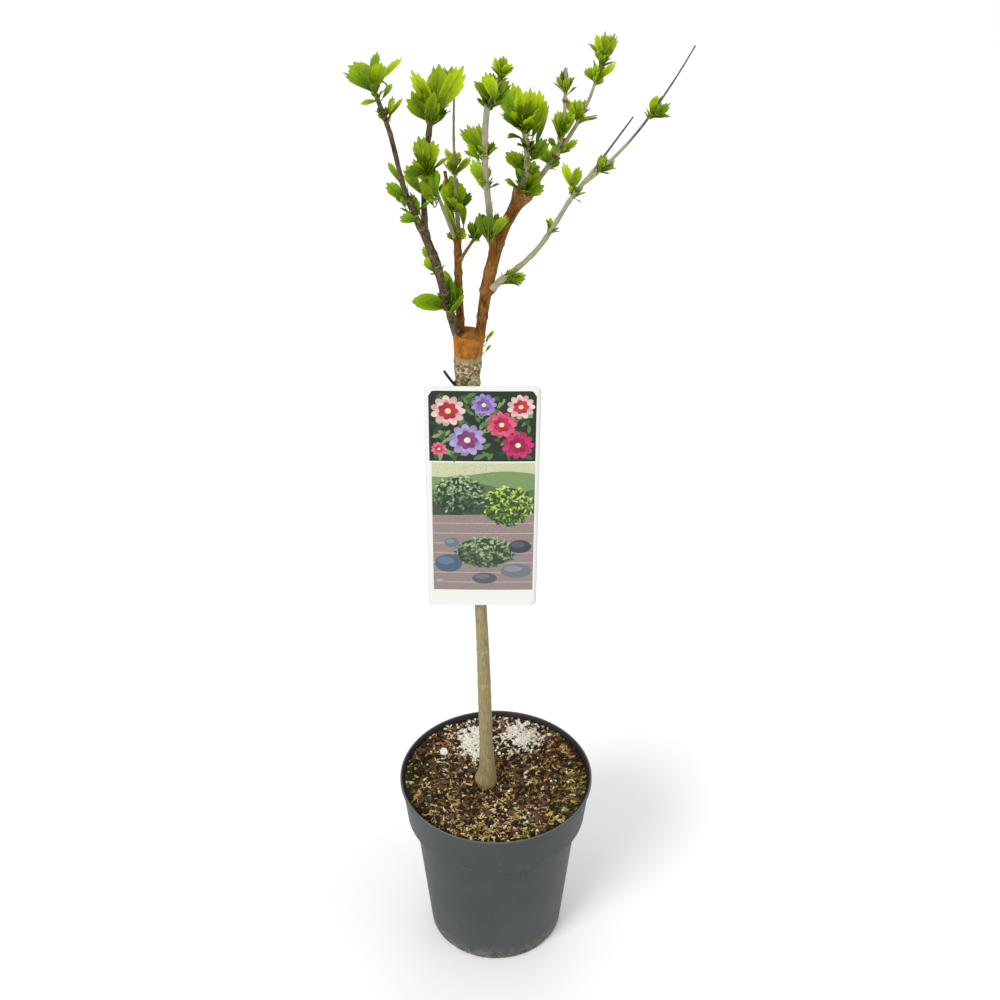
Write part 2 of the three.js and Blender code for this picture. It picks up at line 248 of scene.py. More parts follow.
# %% [markdown]
# ## The floor
#
# A pale floor is all the room that the plant needs. It is one large square, since the camera
# looks down and never sees a horizon.

# %% Floor
FLOOR_HALF = 14
floor_mesh = bpy.data.meshes.new("floor")
floor_corners = [(x * FLOOR_HALF, y * FLOOR_HALF, 0) for x, y in ((-1, -1), (1, -1), (1, 1), (-1, 1))]
floor_mesh.from_pydata(floor_corners, [], [(0, 1, 2, 3)])
floor = bpy.data.objects.new("floor", floor_mesh)
bpy.context.scene.collection.objects.link(floor)
floor_paint = Paint("pale_floor", 0.6)
mottling = cloud(own_place(floor_paint), 1.5)
floor_paint.set("Base Color", mixed(mottling, srgb(250, 250, 250), srgb(253, 253, 253)))
floor_mesh.materials.append(floor_paint.material)
floor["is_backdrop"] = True
print("floor is", 2 * FLOOR_HALF, "m wide")

# %% [markdown]
# ## Making a piece
#
# Everything on the plant is made of plain lists of points and faces, worked out with numpy. One
# helper turns such lists into a Blender object, gives its faces their materials and makes it
# ride on the plant's one body. A modelling tool such as a lathe or a curve with a bevel would
# make the round things too, but not the relief of bark or the teeth of a leaf.

# %% The piece helper
def make_piece(name, points, faces, paints, nodes=(), face_paints=None, fields=None, smooth=True):
    """An object of these points and faces. face_paints says which paint each face has, and
    fields holds named values for each point, which a material can read."""
    mesh = bpy.data.meshes.new(name)
    mesh.from_pydata([tuple(p) for p in points], [], [tuple(f) for f in faces])
    for paint in paints:
        mesh.materials.append(paint.material)
    if face_paints is not None:
        mesh.polygons.foreach_set("material_index", np.asarray(face_paints, np.int32))
    for key, values in (fields or {}).items():
        values = np.asarray(values, np.float32)
        kind, part = ("FLOAT", "value") if values.ndim == 1 else ("FLOAT_VECTOR", "vector")
        mesh.attributes.new(key, kind, "POINT").data.foreach_set(part, values.ravel())
    if smooth:
        mesh.shade_smooth()
    piece = bpy.data.objects.new(name, mesh)
    bpy.context.scene.collection.objects.link(piece)
    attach(piece, BODY)
    if nodes:
        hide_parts(*nodes)
    print(f"{name}: {len(points)} points, {len(faces)} faces")


# %% Many small things in one piece
class Heap:
    """Points and faces of many small things that end up in one piece, and each face's paint."""

    def __init__(self):
        self.points = []
        self.faces = []
        self.paints = []

    def add(self, points, faces, paint=0):
        """paint is the number of one paint for all the faces, or a list with one for each."""
        start = len(self.points)
        self.points.extend(points)
        self.faces.extend(tuple(start + corner for corner in face) for face in faces)
        self.paints.extend([paint] * len(faces) if isinstance(paint, int) else paint)

    def make(self, name, paints, slot, nodes=(), smooth=True):
        make_piece(name, self.points, self.faces, paints, nodes, self.paints, smooth=smooth)


def tube_faces(rings, sides):
    """Quads between rings of points that follow each other."""
    faces = []
    for ring in range(rings - 1):
        for side in range(sides):
            here = ring * sides + side
            beside = ring * sides + (side + 1) % sides
            faces.append((here, beside, beside + sides, here + sides))
    return faces


def closed_faces(rings, sides):
    """Quads between the rings, and one face over the first ring and one over the last."""
    last = (rings - 1) * sides
    caps = [tuple(range(sides))[::-1], tuple(range(last, last + sides))]
    return tube_faces(rings, sides) + caps


def circle(sides):
    """The angles of points spread evenly round a circle."""
    return np.linspace(0, 2 * math.pi, sides, endpoint=False)


def bell(values, centre, width):
    """1 at the centre, falling to almost nothing two widths away."""
    return np.exp(-(((values - centre) / width) ** 2))


# %% [markdown]
# ## Finding the limbs again
#
# The CAD limbs are closed tubes, cut where they meet their neighbours. Their middle lines aren't
# stored, but each tube can be sliced level by level: the middle of a slice is a point of the
# line, and its area gives the radius. That way the bark follows the CAD exactly, and still does
# when the CAD changes. Drawing the lines again by hand would drift away from it.

# %% Slice a CAD node
def node_points(node):
    return np.array([v.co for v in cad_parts[node].data.vertices])


def node_triangles(node):
    """The three corners of each triangle of a CAD node."""
    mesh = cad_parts[node].data
    mesh.calc_loop_triangles()
    return node_points(node)[np.array([t.vertices for t in mesh.loop_triangles])]


def cut_ends(corners, height):
    """A level plane cuts each triangle in a line. These are the lines' first and second ends."""
    above = corners[:, :, 2] > height
    count = above.sum(1)
    cut = (count == 1) | (count == 2)
    above, corners = above[cut], corners[cut]
    lone = np.argmax(above == (count[cut] == 1)[:, None], axis=1)
    row = np.arange(len(corners))
    tip = corners[row, lone]
    ends = []
    for turn in (1, 2):
        other = corners[row, (lone + turn) % 3]
        share = (height - tip[:, 2]) / (other[:, 2] - tip[:, 2])
        ends.append(tip + (other - tip) * share[:, None])
    return ends


def cross_section(corners, height):
    """The middle and the area of a level slice."""
    ends = cut_ends(corners, height)
    length = np.linalg.norm(ends[1] - ends[0], axis=1)
    middle = ((ends[0] + ends[1]) / 2 * length[:, None]).sum(0) / length.sum()
    a, b = ends[0] - middle, ends[1] - middle
    area = np.abs(a[:, 0] * b[:, 1] - a[:, 1] * b[:, 0]).sum() / 2
    return middle, area


# %% Even steps and smooth values
STEP = 1 * MM  # distance between points of a finished line


def evenly(line, radii):
    """The line and its radii again at even steps along it."""
    walked = np.concatenate([[0], np.cumsum(np.linalg.norm(np.diff(line, axis=0), axis=1))])
    places = np.linspace(0, walked[-1], max(int(walked[-1] / STEP), 4) + 1)
    even = np.stack([np.interp(places, walked, line[:, axis]) for axis in range(3)], axis=1)
    return even, np.interp(places, walked, radii)


def smoothed(values, reach):
    """Each value averaged with those up to reach steps away, with the ends held."""
    padded = np.concatenate([[values[0]] * reach, values, [values[-1]] * reach])
    total = sum(padded[i:i + len(values)] for i in range(2 * reach + 1))
    even = total / (2 * reach + 1)
    even[0], even[-1] = values[0], values[-1]
    return even


# %% Trace a limb
SLICE = 2 * MM  # height between slices
AHEAD = 20  # slices that a slice near the foot is compared with
JUMP = 1.7  # a slice this much larger than the one below is the first whole one
WHOLE = 0.85  # a foot slice has at least this share of the usual area, or it is cut slantwise
WHOLE_TIP = 0.9  # and so has a slice at the tip


def trace(node):
    """The middle line and radii of a CAD limb, from its foot to its tip."""
    corners = node_triangles(node)
    low, high = (corner.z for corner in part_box(node))
    heights = np.arange(low + SLICE / 4, high, SLICE)
    slices = [cross_section(corners, height) for height in heights]
    line = np.array([middle for middle, _ in slices])
    area = np.array([size for _, size in slices])
    near = area[:AHEAD]
    jumps = np.flatnonzero(near[1:] > JUMP * near[:-1])
    first = int(jumps[-1]) + 1 if len(jumps) else 0
    while area[first] < WHOLE * np.median(area[first:first + AHEAD]):
        first += 1
    last = len(area) - 1
    while last > first + 3 and area[last] < WHOLE_TIP * area[last - 2]:
        last -= 1
    line, area = line[first:last + 1], area[first:last + 1]
    ways = np.gradient(line, axis=0)
    upright = ways[:, 2] / np.linalg.norm(ways, axis=1)
    radii = np.sqrt(area * upright / math.pi)
    way = line[-1] - line[-3]
    top = high - radii[-1] * math.sqrt(max(0, 1 - upright[-1] ** 2))
    end = line[-1] + way * max(top - line[-1, 2], 0) / way[2]
    return evenly(np.vstack([line, end]), np.append(radii, radii[-1]))


# %% [markdown]
# ## The plant's wood
#
# The table says what each limb springs from, its kind of bark, how deep its ridges are and how
# it ends. A pruned limb ends in a cut or in callus, a living twig in a soft tip, and the stem in
# the swollen head that its three limbs rise from. A limb starts inside its parent, so its line
# is led back down into the parent's wood.

# %% The limbs
TWIG_SIDES = 18
LIMBS = {
    # limb: parent, bark, sides, ridge depth in mm, end
    "trunk": (None, "stem", 56, 0.16, "head"),
    "left_limb": ("trunk", "dark", 32, 0.32, "tip"),
    "left_inner_limb": ("left_limb", "dark", 24, 0.22, "tip"),
    "centre_limb": ("trunk", "red", 30, 0.16, "cut"),
    "centre_twig_side": ("centre_limb", "red", TWIG_SIDES, 0.08, "tip"),
    "centre_twig_left": ("centre_limb", "grey", TWIG_SIDES, 0.08, "tip"),
    "centre_twig_cut": ("centre_limb", "red", TWIG_SIDES, 0.08, "cut"),
    "centre_twig_tall": ("centre_limb", "tan", TWIG_SIDES, 0.06, "cut"),
    "right_limb": ("trunk", "red", 40, 0.2, "callus"),
    "grey_shoot": ("right_limb", "grey", 26, 0.1, "tip"),
    "grey_twig": ("grey_shoot", "tan", TWIG_SIDES, 0.06, "tip"),
    "upright_shoot": ("right_limb", "tan", 26, 0.12, "tip"),
    "tan_branch": ("right_limb", "tan", 24, 0.12, "tip"),
    "tan_twig": ("tan_branch", "tan", TWIG_SIDES, 0.06, "cut"),
    "low_branch": ("right_limb", "grey", 26, 0.1, "tip"),
    "low_twig_bare": ("low_branch", "grey", 12, 0.03, "cut"),
    "low_twig_long": ("low_branch", "grey", 14, 0.04, "cut"),
}
print(len(LIMBS), "limbs")

# %% Lead a limb into its parent
DEEPEST = 45  # how many steps a limb may be led down into its parent
CLOSE = 0.3  # share of the parent's radius at which it is deep enough
BEND = 1.6  # length of the bend into the parent's middle, in distances from it


def rooted(line, radii, parent_line, parent_radii):
    """The line led down and bent into the middle of its parent, where it gets thin."""
    way = line[4] - line[0]
    way /= np.linalg.norm(way)
    led = [line[0]]
    before = math.inf
    for _ in range(DEEPEST):
        gaps = np.linalg.norm(parent_line - led[-1], axis=1)
        nearest = gaps.argmin()
        if gaps[nearest] > before or gaps[nearest] < CLOSE * parent_radii[nearest]:
            break
        before = gaps[nearest]
        led.append(led[-1] - way * STEP)
    bend = max(int(BEND * gaps[nearest] / STEP), 2)
    goal = parent_line[max(nearest - bend, 0)]
    last = led[-1]
    led += [last + (goal - last) * step / bend for step in range(1, bend + 1)]
    foot = np.array(led[:0:-1]).reshape(-1, 3)
    thin = np.full(len(foot), radii[0])
    thin[:bend] = np.linspace(min(radii[0], 0.5 * parent_radii[nearest]), radii[0], bend)
    return np.vstack([foot, line]), np.concatenate([thin, radii])


# %% Trace every limb
STEM_SUNK = 4 * MM  # how far the stem goes on below the compost's top

lines = {}
for name, (parent, *_) in LIMBS.items():
    line, radii = trace(name)
    if parent:
        line, radii = rooted(line, radii, *lines[parent])
    else:
        line = np.vstack([line[0] - (0, 0, STEM_SUNK), line])
        radii = np.append(radii[0], radii)
    line = np.stack([smoothed(line[:, axis], 3) for axis in range(3)], axis=1)
    lines[name] = evenly(line, smoothed(radii, 2))
    thin, thick = radii.min() / MM, radii.max() / MM
    print(f"{name}: {len(lines[name][0])} mm long, {thin:.1f} to {thick:.1f} mm in radius")

# %% [markdown]
# ## Five kinds of bark
#
# Old wood low down is olive grey with a fine upright grain. Above the graft it turns red-brown
# and smooth, with dark patches and flakes, and the youngest shoots are grey-green or tan with
# pale dots. The grain has to run along each limb, whichever way that leans, so the noise is
# read from `straight`: the place that each point would have if its limb were unbent. Image
# textures would need a seam down every twig.

# %% Grain, patches and flakes
BARK_SHINE = 0.15


def bark(name, dark, mid, light, grain, blotch=0.5):
    """A bark of three tones. grain is how much longer the streaks are than they are wide, and
    blotch is the noise above which dark patches show."""
    paint = Paint(name, 0.78, BARK_SHINE)
    place = field(paint, "straight", out=1)
    streaks = cloud(place, 1500, 4, 0.6, (1, 1, 1 / grain))
    blotches = cloud(place, 170, 3, 0.6, (1, 1, 0.45))
    tone = mixed(between(streaks, 0.35, 0.68), srgb(*mid), srgb(*light))
    tone = mixed(between(blotches, blotch, blotch + 0.14) * 0.75, tone, srgb(*dark))
    return paint, place, tone, streaks


def flaked(place, tone, scale, stretch, low, high, share, colour):
    """A share of small pale flakes over the tone, where their noise lies above low to high."""
    flakes = cloud(place, scale, 3, 0.7, (1, 1, stretch))
    return mixed(between(flakes, low, high) * share, tone, srgb(*colour))


# %% Scars, joins and relief
THIN_COLOUR = srgb(82, 72, 78)  # the bare ends of the longest twigs
OLD_DARK, OLD_LIGHT = srgb(92, 54, 14), srgb(140, 90, 32)  # a parent's bark on a shoot's foot


def finish_bark(paint, place, tone, streaks, scar_colour, depth):
    """Pale scars where leaves or twigs stood, the parent's bark where it rides up the foot of a
    shoot, and relief from the same streaks."""
    flecks = between(cloud(place, 900), 0.42, 0.6)
    tone = mixed(field(paint, "scar") * flecks, tone, srgb(*scar_colour))
    ragged = between(field(paint, "join") * (streaks * 2.4 - 0.25), 0.12, 0.62)
    old_bark = mixed(between(streaks, 0.35, 0.65), OLD_DARK, OLD_LIGHT)
    tone = mixed(ragged, tone, old_bark)
    tone = mixed(field(paint, "thin"), tone, THIN_COLOUR)
    paint.set("Base Color", tone)
    paint.set("Roughness", 0.68 + streaks * 0.22)
    bumped(streaks + cloud(place, 2600) * 0.3, depth)


# %% Red, dark, grey and tan bark
TONES = {
    # kind: dark, mid and light tone, grain, blotch, scars, relief in mm
    "red": ((50, 27, 6), (106, 61, 14), (152, 106, 44), 7, 0.5, (176, 142, 96), 0.25),
    "dark": ((28, 22, 13), (58, 48, 32), (106, 93, 66), 9, 0.5, (150, 134, 98), 0.35),
    "grey": ((96, 92, 64), (138, 134, 106), (170, 166, 140), 12, 0.6, (182, 172, 142), 0.12),
    "tan": ((80, 68, 46), (132, 120, 92), (176, 166, 138), 8, 0.6, (190, 174, 144), 0.15),
}
FLAKES = {
    # kind: noise scale, stretch, low and high, share, colour
    "red": (420, 0.3, 0.63, 0.7, 0.7, (150, 128, 88)),
    "dark": (800, 0.6, 0.54, 0.66, 0.75, (142, 124, 88)),
}
BARKS = {}
for kind, (dark, mid, light, grain, blotch, scar_colour, relief) in TONES.items():
    paint, place, tone, streaks = bark(f"{kind}_bark", dark, mid, light, grain, blotch)
    if kind in FLAKES:
        tone = flaked(place, tone, *FLAKES[kind])
    finish_bark(paint, place, tone, streaks, scar_colour, relief * MM)
    BARKS[kind] = paint
print("barks:", ", ".join(BARKS))

# %% [markdown]
# The stem carries three finishes on one tube: grey bark, a corky ring of callus just under the
# graft, and the smooth orange-brown head of the graft itself. Each has a field that says where
# it is, and the colours are laid over each other in that order.

# %% Stem bark
paint, place, tone, streaks = bark("stem_bark", (78, 70, 44), (130, 118, 80), (166, 153, 114), 14, 0.6)
cork_cells = paint.node("ShaderNodeTexVoronoi", {}, {"Vector": place, "Scale": 420.0})
cork_cloud = cloud(place, 520, 3, 0.7)
cork_crests = between(cork_cloud + cork_cells * 0.3, 0.6, 0.82)
cork = mixed(between(cork_cloud, 0.34, 0.5), srgb(58, 46, 28), srgb(118, 100, 72))
cork = mixed(cork_crests, cork, srgb(196, 180, 142))
tone = mixed(field(paint, "callus"), tone, cork)
head_cloud = cloud(place, 240, 3, 0.6, (1, 1, 0.5))
head = mixed(between(head_cloud, 0.3, 0.7), srgb(132, 80, 22), srgb(176, 116, 40))
tone = mixed(field(paint, "graft"), tone, head)
relief = streaks + field(paint, "callus") * cork_crests * 1.5
finish_bark(paint, place, tone, relief, (206, 200, 166), 0.22 * MM)
BARKS["stem"] = paint
print("and the stem's bark, cork and graft")

# %% [markdown]
# ## Bark with real relief
#
# A bump in a material only changes the shading, so it can't roughen an outline. Here the tube
# round each limb is pushed in and out point by point: long ridges, fine grit, a swollen collar
# where the limb leaves its parent, and a low ring at every node, where leaves stand or stood.
# The stem gets a corky ring and a ragged rim at its head as well.

# %% Where the nodes are
NODE_GAPS = (14, 26)  # steps between the nodes of a limb
STEM_NODES = (0.265, 0.347, 0.5, 0.66, 0.79)  # shares of the stem's height


def node_places(name, dice):
    """How many steps up a limb each of its nodes is."""
    count = len(lines[name][0])
    if name == "trunk":
        return [int(share * count) for share in STEM_NODES]
    places = []
    spot = dice.uniform(*NODE_GAPS)
    while spot < count - 6:
        places.append(int(spot))
        spot += dice.uniform(*NODE_GAPS)
    return places


# %% Swellings, scars and joins
STEM_RINGS = 0.3  # how high the stem's rings are beside those of the other limbs
COLLAR = 0.4  # how much wider a limb is where it leaves its parent
RED_FEET = {"low_branch": 0.3, "grey_shoot": 7}  # radii that the red bark rides up them
RED_FOOT, RED_CALLUS_FOOT = 1.5, 2.4  # the same for other shoots, and for those on a callus
CALLUS_STEPS = 12  # how far down a limb its callus reaches
KNOTS = {"tan_twig": 0.62, "tan_branch": 0.36}  # the swollen nodes: shares of a limb's length


def swellings(name, dice):
    """A limb's radii with its rings, collar and callus, and how much of a scar or of its
    parent's bark each step has."""
    parent, kind, _, _, end = LIMBS[name]
    line, radii = lines[name]
    steps = np.arange(len(line), dtype=float)
    size = radii.copy()
    scar = np.zeros(len(line))
    join = np.zeros(len(line))
    rings = STEM_RINGS if name == "trunk" else 1.0
    for place in node_places(name, dice):
        size += radii * rings * dice.uniform(0.08, 0.2) * bell(steps, place, 2)
        scar = np.maximum(scar, bell(steps, place, 1.2) * dice.uniform(0.2, 0.7))
    if parent:
        parent_line, parent_radii = lines[parent]
        gaps = np.array([np.linalg.norm(parent_line - p, axis=1).min() for p in line])
        out = int(np.argmax(gaps > parent_radii.mean()))
        past = np.maximum(steps - out, 0)
        reach = radii[out] / STEP
        size += radii * COLLAR * bell(past, 0, reach * 1.1)
        scar = np.maximum(scar, 0.8 * bell(steps, out + reach * 1.7, 2))
        on_callus = LIMBS[parent][4] == "callus" and line[out, 2] > parent_line[-CALLUS_STEPS, 2]
        if LIMBS[parent][1] == "red" and kind != "red":
            rides = RED_FEET.get(name, RED_CALLUS_FOOT if on_callus else RED_FOOT)
            join = bell(past, 0, reach * rides)
    if end == "callus":
        size += radii * 0.48 * bell(steps, steps[-1], 6)
        scar = np.maximum(scar, 0.6 * bell(steps, steps[-1], 5))
    if name in KNOTS:
        knot = KNOTS[name] * len(steps)
        size += radii * 0.8 * bell(steps, knot, 2)
        join = np.maximum(join, 0.7 * bell(steps, knot - 1, 1.6))
    return size, scar, join


# %% Directions and grit
def three_ways(line):
    """The way of each step of a line, and two directions square to it that don't twist."""
    ways = np.gradient(line, axis=0)
    ways /= np.linalg.norm(ways, axis=1)[:, None]
    first = np.array((1.0, 0, 0)) - ways * ways[:, :1]
    first /= np.linalg.norm(first, axis=1)[:, None]
    return ways, first, np.cross(ways, first)


def grit(points, scale):
    """Smooth noise from -1 to 1 at each point."""
    return np.array([noise.noise(Vector(point) * scale) for point in points])


# %% The stem's callus and head
CALLUS = (0.902, 0.954)  # shares of the stem's height, like the next two
GRAFT = 0.958
EDGE = 0.004  # the height over which they fade
KNOB_TURN = math.radians(195)  # the side of the stem's foot that bulges
KNOB = 4 * MM


def stem_relief(line, turns, straight, fields):
    """Relief of the knob at the foot and of the corky ring. It also writes down where the ring
    and the graft are."""
    foot, top = (corner.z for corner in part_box("trunk"))
    share = np.repeat((line[:, 2] - foot) / (top - foot), len(turns))
    ragged = share + 0.006 * grit(straight, 330)
    low, high = CALLUS
    callus = np.clip((ragged - low) / EDGE, 0, 1) * np.clip((high - ragged) / EDGE, 0, 1)
    fields["callus"] = callus
    fields["graft"] = np.clip((ragged - GRAFT) / EDGE, 0, 1)
    cork = np.abs(grit(straight * (1, 1, 1.6), 480)) * 0.9 + 0.35
    knob = bell(line[:, 2] / MM, foot / MM + 9, 8)[:, None] * np.maximum(0, np.cos(turns - KNOB_TURN))
    return (callus * cork * MM).reshape(-1, len(turns)) + KNOB * knob


# %% Tube with relief
ENDS = {
    # share of the radius, and rise in radii, of each ring past the last
    "cut": ((0.97, 0.05), (0.86, 0.14), (0.5, 0.08), (0.2, 0.02), (0.0, 0.0)),
    "callus": ((1.48, 0.2), (1.42, 0.42), (1.15, 0.62), (0.75, 0.66), (0.3, 0.58), (0.0, 0.55)),
    "tip": ((0.92, 0.35), (0.7, 0.85), (0.4, 1.2), (0.0, 1.4)),
    "head": ((0.96, 0.03), (0.85, 0.0), (0.7, -0.12), (0.5, -0.18), (0.25, -0.1), (0.0, -0.06)),
}
ENDS_ROUGH = {"cut": 2.5, "callus": 7, "head": 2.5}  # how many times deeper the ridges get there
BARE = ("low_twig_bare", "low_twig_long")  # twigs that are dark where they are thin
THIN = 1.1 * MM


def bark_skin(name, dice):
    """A limb's bark: points, faces and the fields that its material reads."""
    _, _, sides, ridge, end = LIMBS[name]
    line, radii = lines[name]
    ways, right, back = three_ways(line)
    size, scar, join = swellings(name, dice)
    shares, rises = np.array(ENDS[end]).T
    more = ((0, len(shares)), (0, 0))
    line = np.vstack([line, line[-1] + ways[-1] * rises[:, None] * radii[-1]])
    right, back = np.pad(right, more, mode="edge"), np.pad(back, more, mode="edge")
    size = np.append(size, radii[-1] * shares)
    scar = np.append(scar, np.full(len(shares), 0.8 if end in ("cut", "callus") else 0.0))
    join = np.append(join, np.zeros(len(shares)))
    turns = circle(sides)
    cos, sin = np.cos(turns), np.sin(turns)
    walked = np.arange(len(line))[:, None] * STEP * np.ones(sides)
    base = np.full(len(line), radii.mean())[:, None]
    straight = np.stack([base * cos, base * sin, walked], axis=2).reshape(-1, 3)
    ridges = grit(straight * (1, 1, 0.12), 900) + 0.8 * grit(straight * (1, 1, 0.5), 260)
    relief = (ridge * ridges + 0.35 * ridge * grit(straight, 1900)) * MM
    if end in ENDS_ROUGH:
        near_end = bell(np.arange(len(line)), len(line) - 5, 5)
        relief *= 1 + ENDS_ROUGH[end] * np.repeat(near_end, sides)
    relief = relief.reshape(len(line), sides)
    thin = np.clip((THIN - size) / (0.2 * MM), 0, 0.9) * (name in BARE)
    fields = {"scar": scar, "join": join, "thin": thin}
    fields = {key: np.repeat(values, sides) for key, values in fields.items()}
    fields["straight"] = straight
    if name in ("trunk", "right_limb"):
        relief += stem_relief(line, turns, straight, fields)
    out = size[:, None] + relief * np.minimum(size / radii.mean(), 1)[:, None]
    round_line = right[:, None, :] * cos[None, :, None] + back[:, None, :] * sin[None, :, None]
    points = line[:, None, :] + out[:, :, None] * round_line
    return points.reshape(-1, 3), tube_faces(len(line), sides), fields


# %% Bark on every limb
# The right limb starts beside the stem, below the graft, and wears the stem's finish that far.
dice = random.Random(11)
stem_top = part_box("trunk")[1].z
for name, (_, kind, *_) in LIMBS.items():
    points, faces, fields = bark_skin(name, dice)
    low = points[np.array(faces)[:, 0], 2] < stem_top - 5 * MM
    paints = [BARKS[kind], BARKS["stem"]] if name == "right_limb" else [BARKS[kind]]
    make_piece(f"bark_{name}", points, faces, paints, [name],
               low.astype(int) * (len(paints) - 1), fields)


# %% [markdown]
# ## The shape of one leaf
#
# A young hibiscus leaf is a wedge that widens from its foot to three toothed lobes, with veins
# that fan out from the foot to their tips. So it is made as a fan: rays from the foot, each as
# long as the outline is there, with rings of points along them. The rays over the veins are
# pressed in and the rest puff up, the two halves fold, and the whole blade bends. A flat card
# with a picture of a leaf would be lighter, but it would show as a card from the side.

# %% Outline of a leaf
RAYS = 25  # an odd number, so that one is the midrib
SIDE = np.linspace(-1, 1, RAYS)  # where each ray is, from edge to edge
FAN = math.radians(38)  # turn of the outermost ray from the midrib
VEINS = (-0.75, -0.42, 0, 0.42, 0.75)
RINGS = (0.04, 0.24, 0.44, 0.64, 0.83, 1.0)  # shares of a ray's length

# The length of each ray from the midrib to the edge, where the midrib's is 1.
LOBED = (1, 0.97, 0.91, 0.87, 0.89, 0.95, 0.92, 0.85, 0.83, 0.86, 0.77, 0.69, 0.52)
PLAIN = (1, 0.98, 0.92, 0.86, 0.79, 0.71, 0.63, 0.54, 0.46, 0.39, 0.31, 0.23, 0.12)


# %% A blade that is folded, puffed and bent
def blade(length, width, cup, dice, lobed=True):
    """Points of a leaf that grows along +Y from 0 with +Z above. cup is 1 when its halves fold
    up and -1 when they fold down, and the tip bends the other way."""
    half = LOBED if lobed else PLAIN
    reach = np.array(half[:0:-1] + half) ** dice.uniform(0.75, 1.2)
    reach *= [dice.uniform(0.98, 1.02) for _ in range(RAYS)]
    share = np.array(RINGS)[:, None]
    along = share * reach * np.cos(SIDE * FAN) * length
    across = share * reach * np.sin(SIDE * FAN)
    across *= width / 2 / across.max()
    creases = sum(bell(SIDE, vein, 0.05) for vein in VEINS)
    puff = 4 * share * (1.05 - share) * (1 - 0.9 * creases)
    wave = np.sin(SIDE * dice.uniform(7, 11) + dice.uniform(0, 6)) * share**2
    height = width * (0.018 * puff + dice.uniform(0.02, 0.06) * wave)
    height += cup * dice.uniform(0.1, 0.42) * np.abs(across)
    height -= cup * dice.uniform(0.05, 0.5) * along**2 / (2 * length)
    sway = dice.uniform(-0.12, 0.12) * along**2 / length
    return np.stack([across + sway, along, height], axis=2).reshape(-1, 3)


def sheet_faces(rows, columns, start=0):
    """Quads of a sheet of points in rows, whose first point has the number start."""
    return [
        (at, at + 1, at + columns + 1, at + columns)
        for row in range(rows - 1)
        for at in range(start + row * columns, start + (row + 1) * columns - 1)
    ]


BLADE_FACES = sheet_faces(len(RINGS), RAYS)
FACE_RINGS = [ring for ring in range(len(RINGS) - 1) for _ in range(RAYS - 1)]
MIDRIB = [ring * RAYS + RAYS // 2 for ring in range(len(RINGS))]
print("a leaf has", len(BLADE_FACES), "faces in", len(RINGS) - 1, "rings")

# %% [markdown]
# ## Leaf colours
#
# The leaves are yellow-green and brighter at the rim than at the foot: partly their own colour,
# partly painted light at the rim and painted shade at the foot. The colour is given face by face:
# each ring of a leaf has its own plain paint. Each tuft leans to one of four tints, and a fifth,
# darker one is painted shade for leaves inside the tuft. With real relief in the blade, plain paint
# is enough, and a pattern laid over hundreds of tiny joined leaves would land in the wrong
# places when the model is exported.

# %% Leaf paints
TINTS = {
    # tint: colour at the foot of a leaf, colour at its rim. The dark foot is partly painted shade and
    # the bright rim partly painted light; the shaded tint is all painted shade
    "fresh": (srgb(54, 78, 0), srgb(170, 194, 12)),
    "lime": (srgb(46, 74, 0), srgb(154, 184, 8)),
    "green": (srgb(32, 56, 0), srgb(122, 156, 8)),
    "olive": (srgb(38, 58, 0), srgb(138, 164, 14)),
    "shaded": (srgb(24, 42, 0), srgb(96, 126, 6)),
}
TONES_A_TINT = len(RINGS) - 1
LEAF_SHINE = 0.12
leaf_paints = []
# each ring steps from the foot colour to the rim colour: partly the leaf's own colour, partly painted
# shade and painted light
for tint, (foot_colour, rim_colour) in TINTS.items():
    for ring, out in enumerate(np.linspace(0, 1, TONES_A_TINT) ** 0.9):
        colour = [a + (b - a) * out for a, b in zip(foot_colour, rim_colour)]
        paint = Paint(f"leaf_{tint}_{ring}", 0.5 - 0.08 * out, LEAF_SHINE)
        paint.set("Base Color", colour)
        leaf_paints.append(paint)

stalk_paint = Paint("leaf_stalk", 0.5, LEAF_SHINE)
stalk_cloud = cloud(own_place(stalk_paint), 700)
stalk_paint.set("Base Color", mixed(stalk_cloud, srgb(78, 98, 6), srgb(130, 150, 24)))
print(len(leaf_paints), "leaf paints in", len(TINTS), "tints")

# %% [markdown]
# ## Which leaves grow where
#
# Every tuft sits on a limb at a share of its length, and has a few lead leaves that make its
# outline. They are laid out like a pressed plant, on a board that leans back as the camera
# looks down: two distances from the tuft's foot, the angle from upright, the length and the
# width, and then how far the leaf leans out of the board and rolls. This is slow to write, but
# every tuft keeps the gesture of the real one. The leaves behind are grown by a rule later on.

